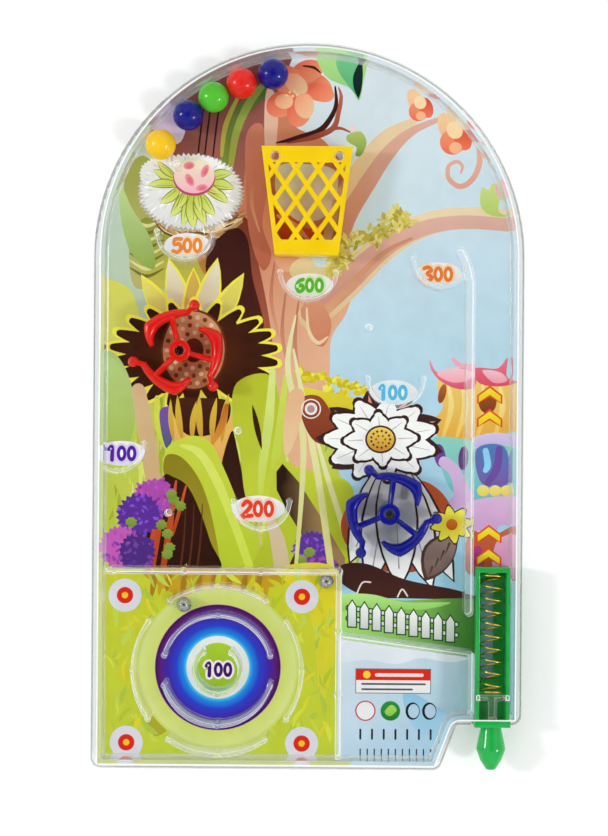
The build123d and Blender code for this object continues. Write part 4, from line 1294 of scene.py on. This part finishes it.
def target_panel():
    """The lime target field with its round target and four small bullseyes."""
    box(-60, -43, 8.3, -100, "#C9C92C", "#BDC93C", (0, -43), (-10, -96))
    blob([(-42, -43), (-10, -43), (-6, -47), (-14, -48.4), (-22, -50), (-30, -50.6), (-38, -48.4)], "#B98A1E",
         "#C6A82A")
    for x in range(-40, -8, 2):
        blade((x, -43, x - 1.2, -49.5 - (x % 3), 1.5), "#C79C22" if x % 4 else "#A9791C")
    blob([(-8, -43), (8, -43), (8, -62), (4, -80), (2, -60), (-2, -50)], "#E0CC28", "#CFCB34")
    blob([(-58, -92), (-40, -93), (8, -92), (8, -100), (-60, -100)], "#C3C638", "#B2B62E")
    blob([(-42, -82), (-36, -84), (-38, -87), (-41, -87)], "#A9A62E")
    dice = random.Random(9)
    for _ in range(230):
        x, y = dice.uniform(-52, 7), dice.uniform(-92, -46)
        a = dice.uniform(0.6, 2.5)
        length = dice.uniform(2.5, 7.5)
        tone = dice.choice(["#D3D840", "#B4C22E", "#C9C62C", "#D9CE34", "#AFC046", "#C2D050"])
        blade((x, y, x + length * math.cos(a), y + length * math.sin(a), dice.uniform(0.5, 1.5),
               dice.uniform(-1, 1)), tone)
    x, y = -23.4, -69.2
    art.rings(x, y, [(21.4, "#C6D052"), (20.4, "#D3DA84"), (16.9, "#CBD566")])
    art.rings(x, y, [(16.75, "#E7B7C8"), (16.5, "#3A1045"), (15.4, "#5B1C74"), (13.4, "#3F25A0"),
                     (11, "#2A3FC4"), (9.2, "#1E86DC"), (8.3, "#4CC4EC")])
    spot((x, y, 8.3), "#E9E9E4", "#D9D9D4", count=60)
    spot((x, y, 6.5), "#A9C832", "#8FB424", count=48)
    score("100", -23.2, -69.8, 2.35, "#3E1465", "#F3E4E6", "#F0DDE0")
    for cx, cy in ((-48.1, -50.3), (-1.3, -50.4), (-47.5, -89.2), (-1.1, -89.2)):
        spot((cx, cy, 4.4), "#D8D5DC")
        spot((cx, cy, 2.18), "#D8281C")
        spot((cx, cy, 0.85), "#F2C02A", count=18)


def scores():
    """A pale lens and a number under each cup."""
    for text, x, y, size, colour, halo, rx, ry in (
        ("500", -32.2, 42.3, 2.5, "#EE8A3A", "#F7D9B8", 6.2, 3.3),
        ("600", 0.2, 32, 2.4, "#5AB82E", "#CFEAB4", 6.2, 3.2),
        ("300", 34.2, 35.2, 2.5, "#EC7A32", "#F7D4B0", 6.2, 3.1),
        ("100", 22.4, 3.8, 2.5, "#5CB8E0", "#D3ECF6", 6.4, 3.3),
        ("100", -49.2, -12.8, 2.5, "#54209C", "#DCCBEA", 6.6, 3.3),
        ("200", -13, -27.2, 2.7, "#E8442A", "#F7CDBE", 7, 3.5),
    ):
        spot((x, y, rx, ry), "#F1EFEE", "#DEDCDC", count=40)
        score(text, x, y, size, colour, halo)


for draw in (backdrop, top_left_thicket, trunk, blossoms, leaf_clusters, fluffy_ball, brown_flower, vines,
             streaks, painted_bands, white_flower, grass_band, corner_panel, target_panel, scores):
    draw()


def anticlockwise(loop):
    """A closed line, turned round if it runs clockwise."""
    area = sum(a[0] * b[1] - b[0] * a[1] for a, b in pairs(loop))
    return loop if area > 0 else loop[::-1]


CARD_LIFT = 0.02 * MM
CARD_BACK = "#E4E2DC"


def card_mesh():
    """The card as one closed solid, its face divided along the edges of the inked shapes."""
    low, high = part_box("printed_card")
    rim = card_rim()
    shapes = [(rim, (1, 1, 1), (1, 1, 1), None, None), *art.shapes]
    points, faces = [], []
    for loop, *_ in shapes:
        faces.append(list(range(len(points), len(points) + len(loop))))
        points += [Vector((x, y)) for x, y in anticlockwise(loop)]
    flat, _, parts, _, _, sources = delaunay_2d_cdt(points, [], faces, 1, 1e-5)
    form = bmesh.new()
    corners = [form.verts.new((p.x * MM, p.y * MM, high[2])) for p in flat]
    ink = form.loops.layers.float_color.new("ink")
    for part, source in zip(parts, sources):
        if 0 not in source or max(source) == 0:
            continue
        face = form.faces.new([corners[i] for i in part])
        shape = shapes[max(source)]
        for corner in face.loops:
            x, y = corner.vert.co.x / MM, corner.vert.co.y / MM
            corner[ink] = (*Art.shade(shape, x, y), 1)
    bmesh.ops.delete(form, geom=[v for v in form.verts if not v.link_faces], context="VERTS")
    edge = [e for e in form.edges if len(e.link_faces) == 1]
    grown = bmesh.ops.extrude_edge_only(form, edges=edge)["geom"]
    foot = [g for g in grown if isinstance(g, bmesh.types.BMVert)]
    for vert in foot:
        vert.co.z = low[2] + CARD_LIFT
    bmesh.ops.contextual_create(form, geom=[g for g in grown if isinstance(g, bmesh.types.BMEdge)])
    bmesh.ops.recalc_face_normals(form, faces=form.faces)
    for face in form.faces:
        if face.normal.z < 0.5:
            for corner in face.loops:
                corner[ink] = (*srgb(CARD_BACK), 1)
    return mesh_of(form, "card_face")


def card_rim():
    """The card's outline, read off the CAD card's own edge, in millimetres."""
    form = bmesh.new()
    form.from_mesh(nodes["printed_card"].data)
    bmesh.ops.remove_doubles(form, verts=form.verts, dist=1e-7)
    for face in list(form.faces):
        if face.normal.z < 0.5:
            form.faces.remove(face)
    rim = walked(e.verts for e in form.edges if len(e.link_faces) == 1)[0]
    rim = [(v.co.x / MM, v.co.y / MM) for v in rim]
    form.free()
    return rim


new_piece("card", card_mesh(), CARD, "case", ["printed_card"])

# ---------------------------------------------------------------- floor

FLOOR_HALF = 3.0
FLOOR_DROP = 0.05 * MM
floor_mesh = bpy.data.meshes.new("floor")
corners = [(x * FLOOR_HALF, y * FLOOR_HALF, 0) for x, y in ((-1, -1), (1, -1), (1, 1), (-1, 1))]
floor_mesh.from_pydata(corners, [], [(0, 1, 2, 3)])
floor_mesh.materials.append(FLOOR.material)
floor = bpy.data.objects.new("floor", floor_mesh)
floor.location.z = -FLOOR_DROP
scene.collection.objects.link(floor)
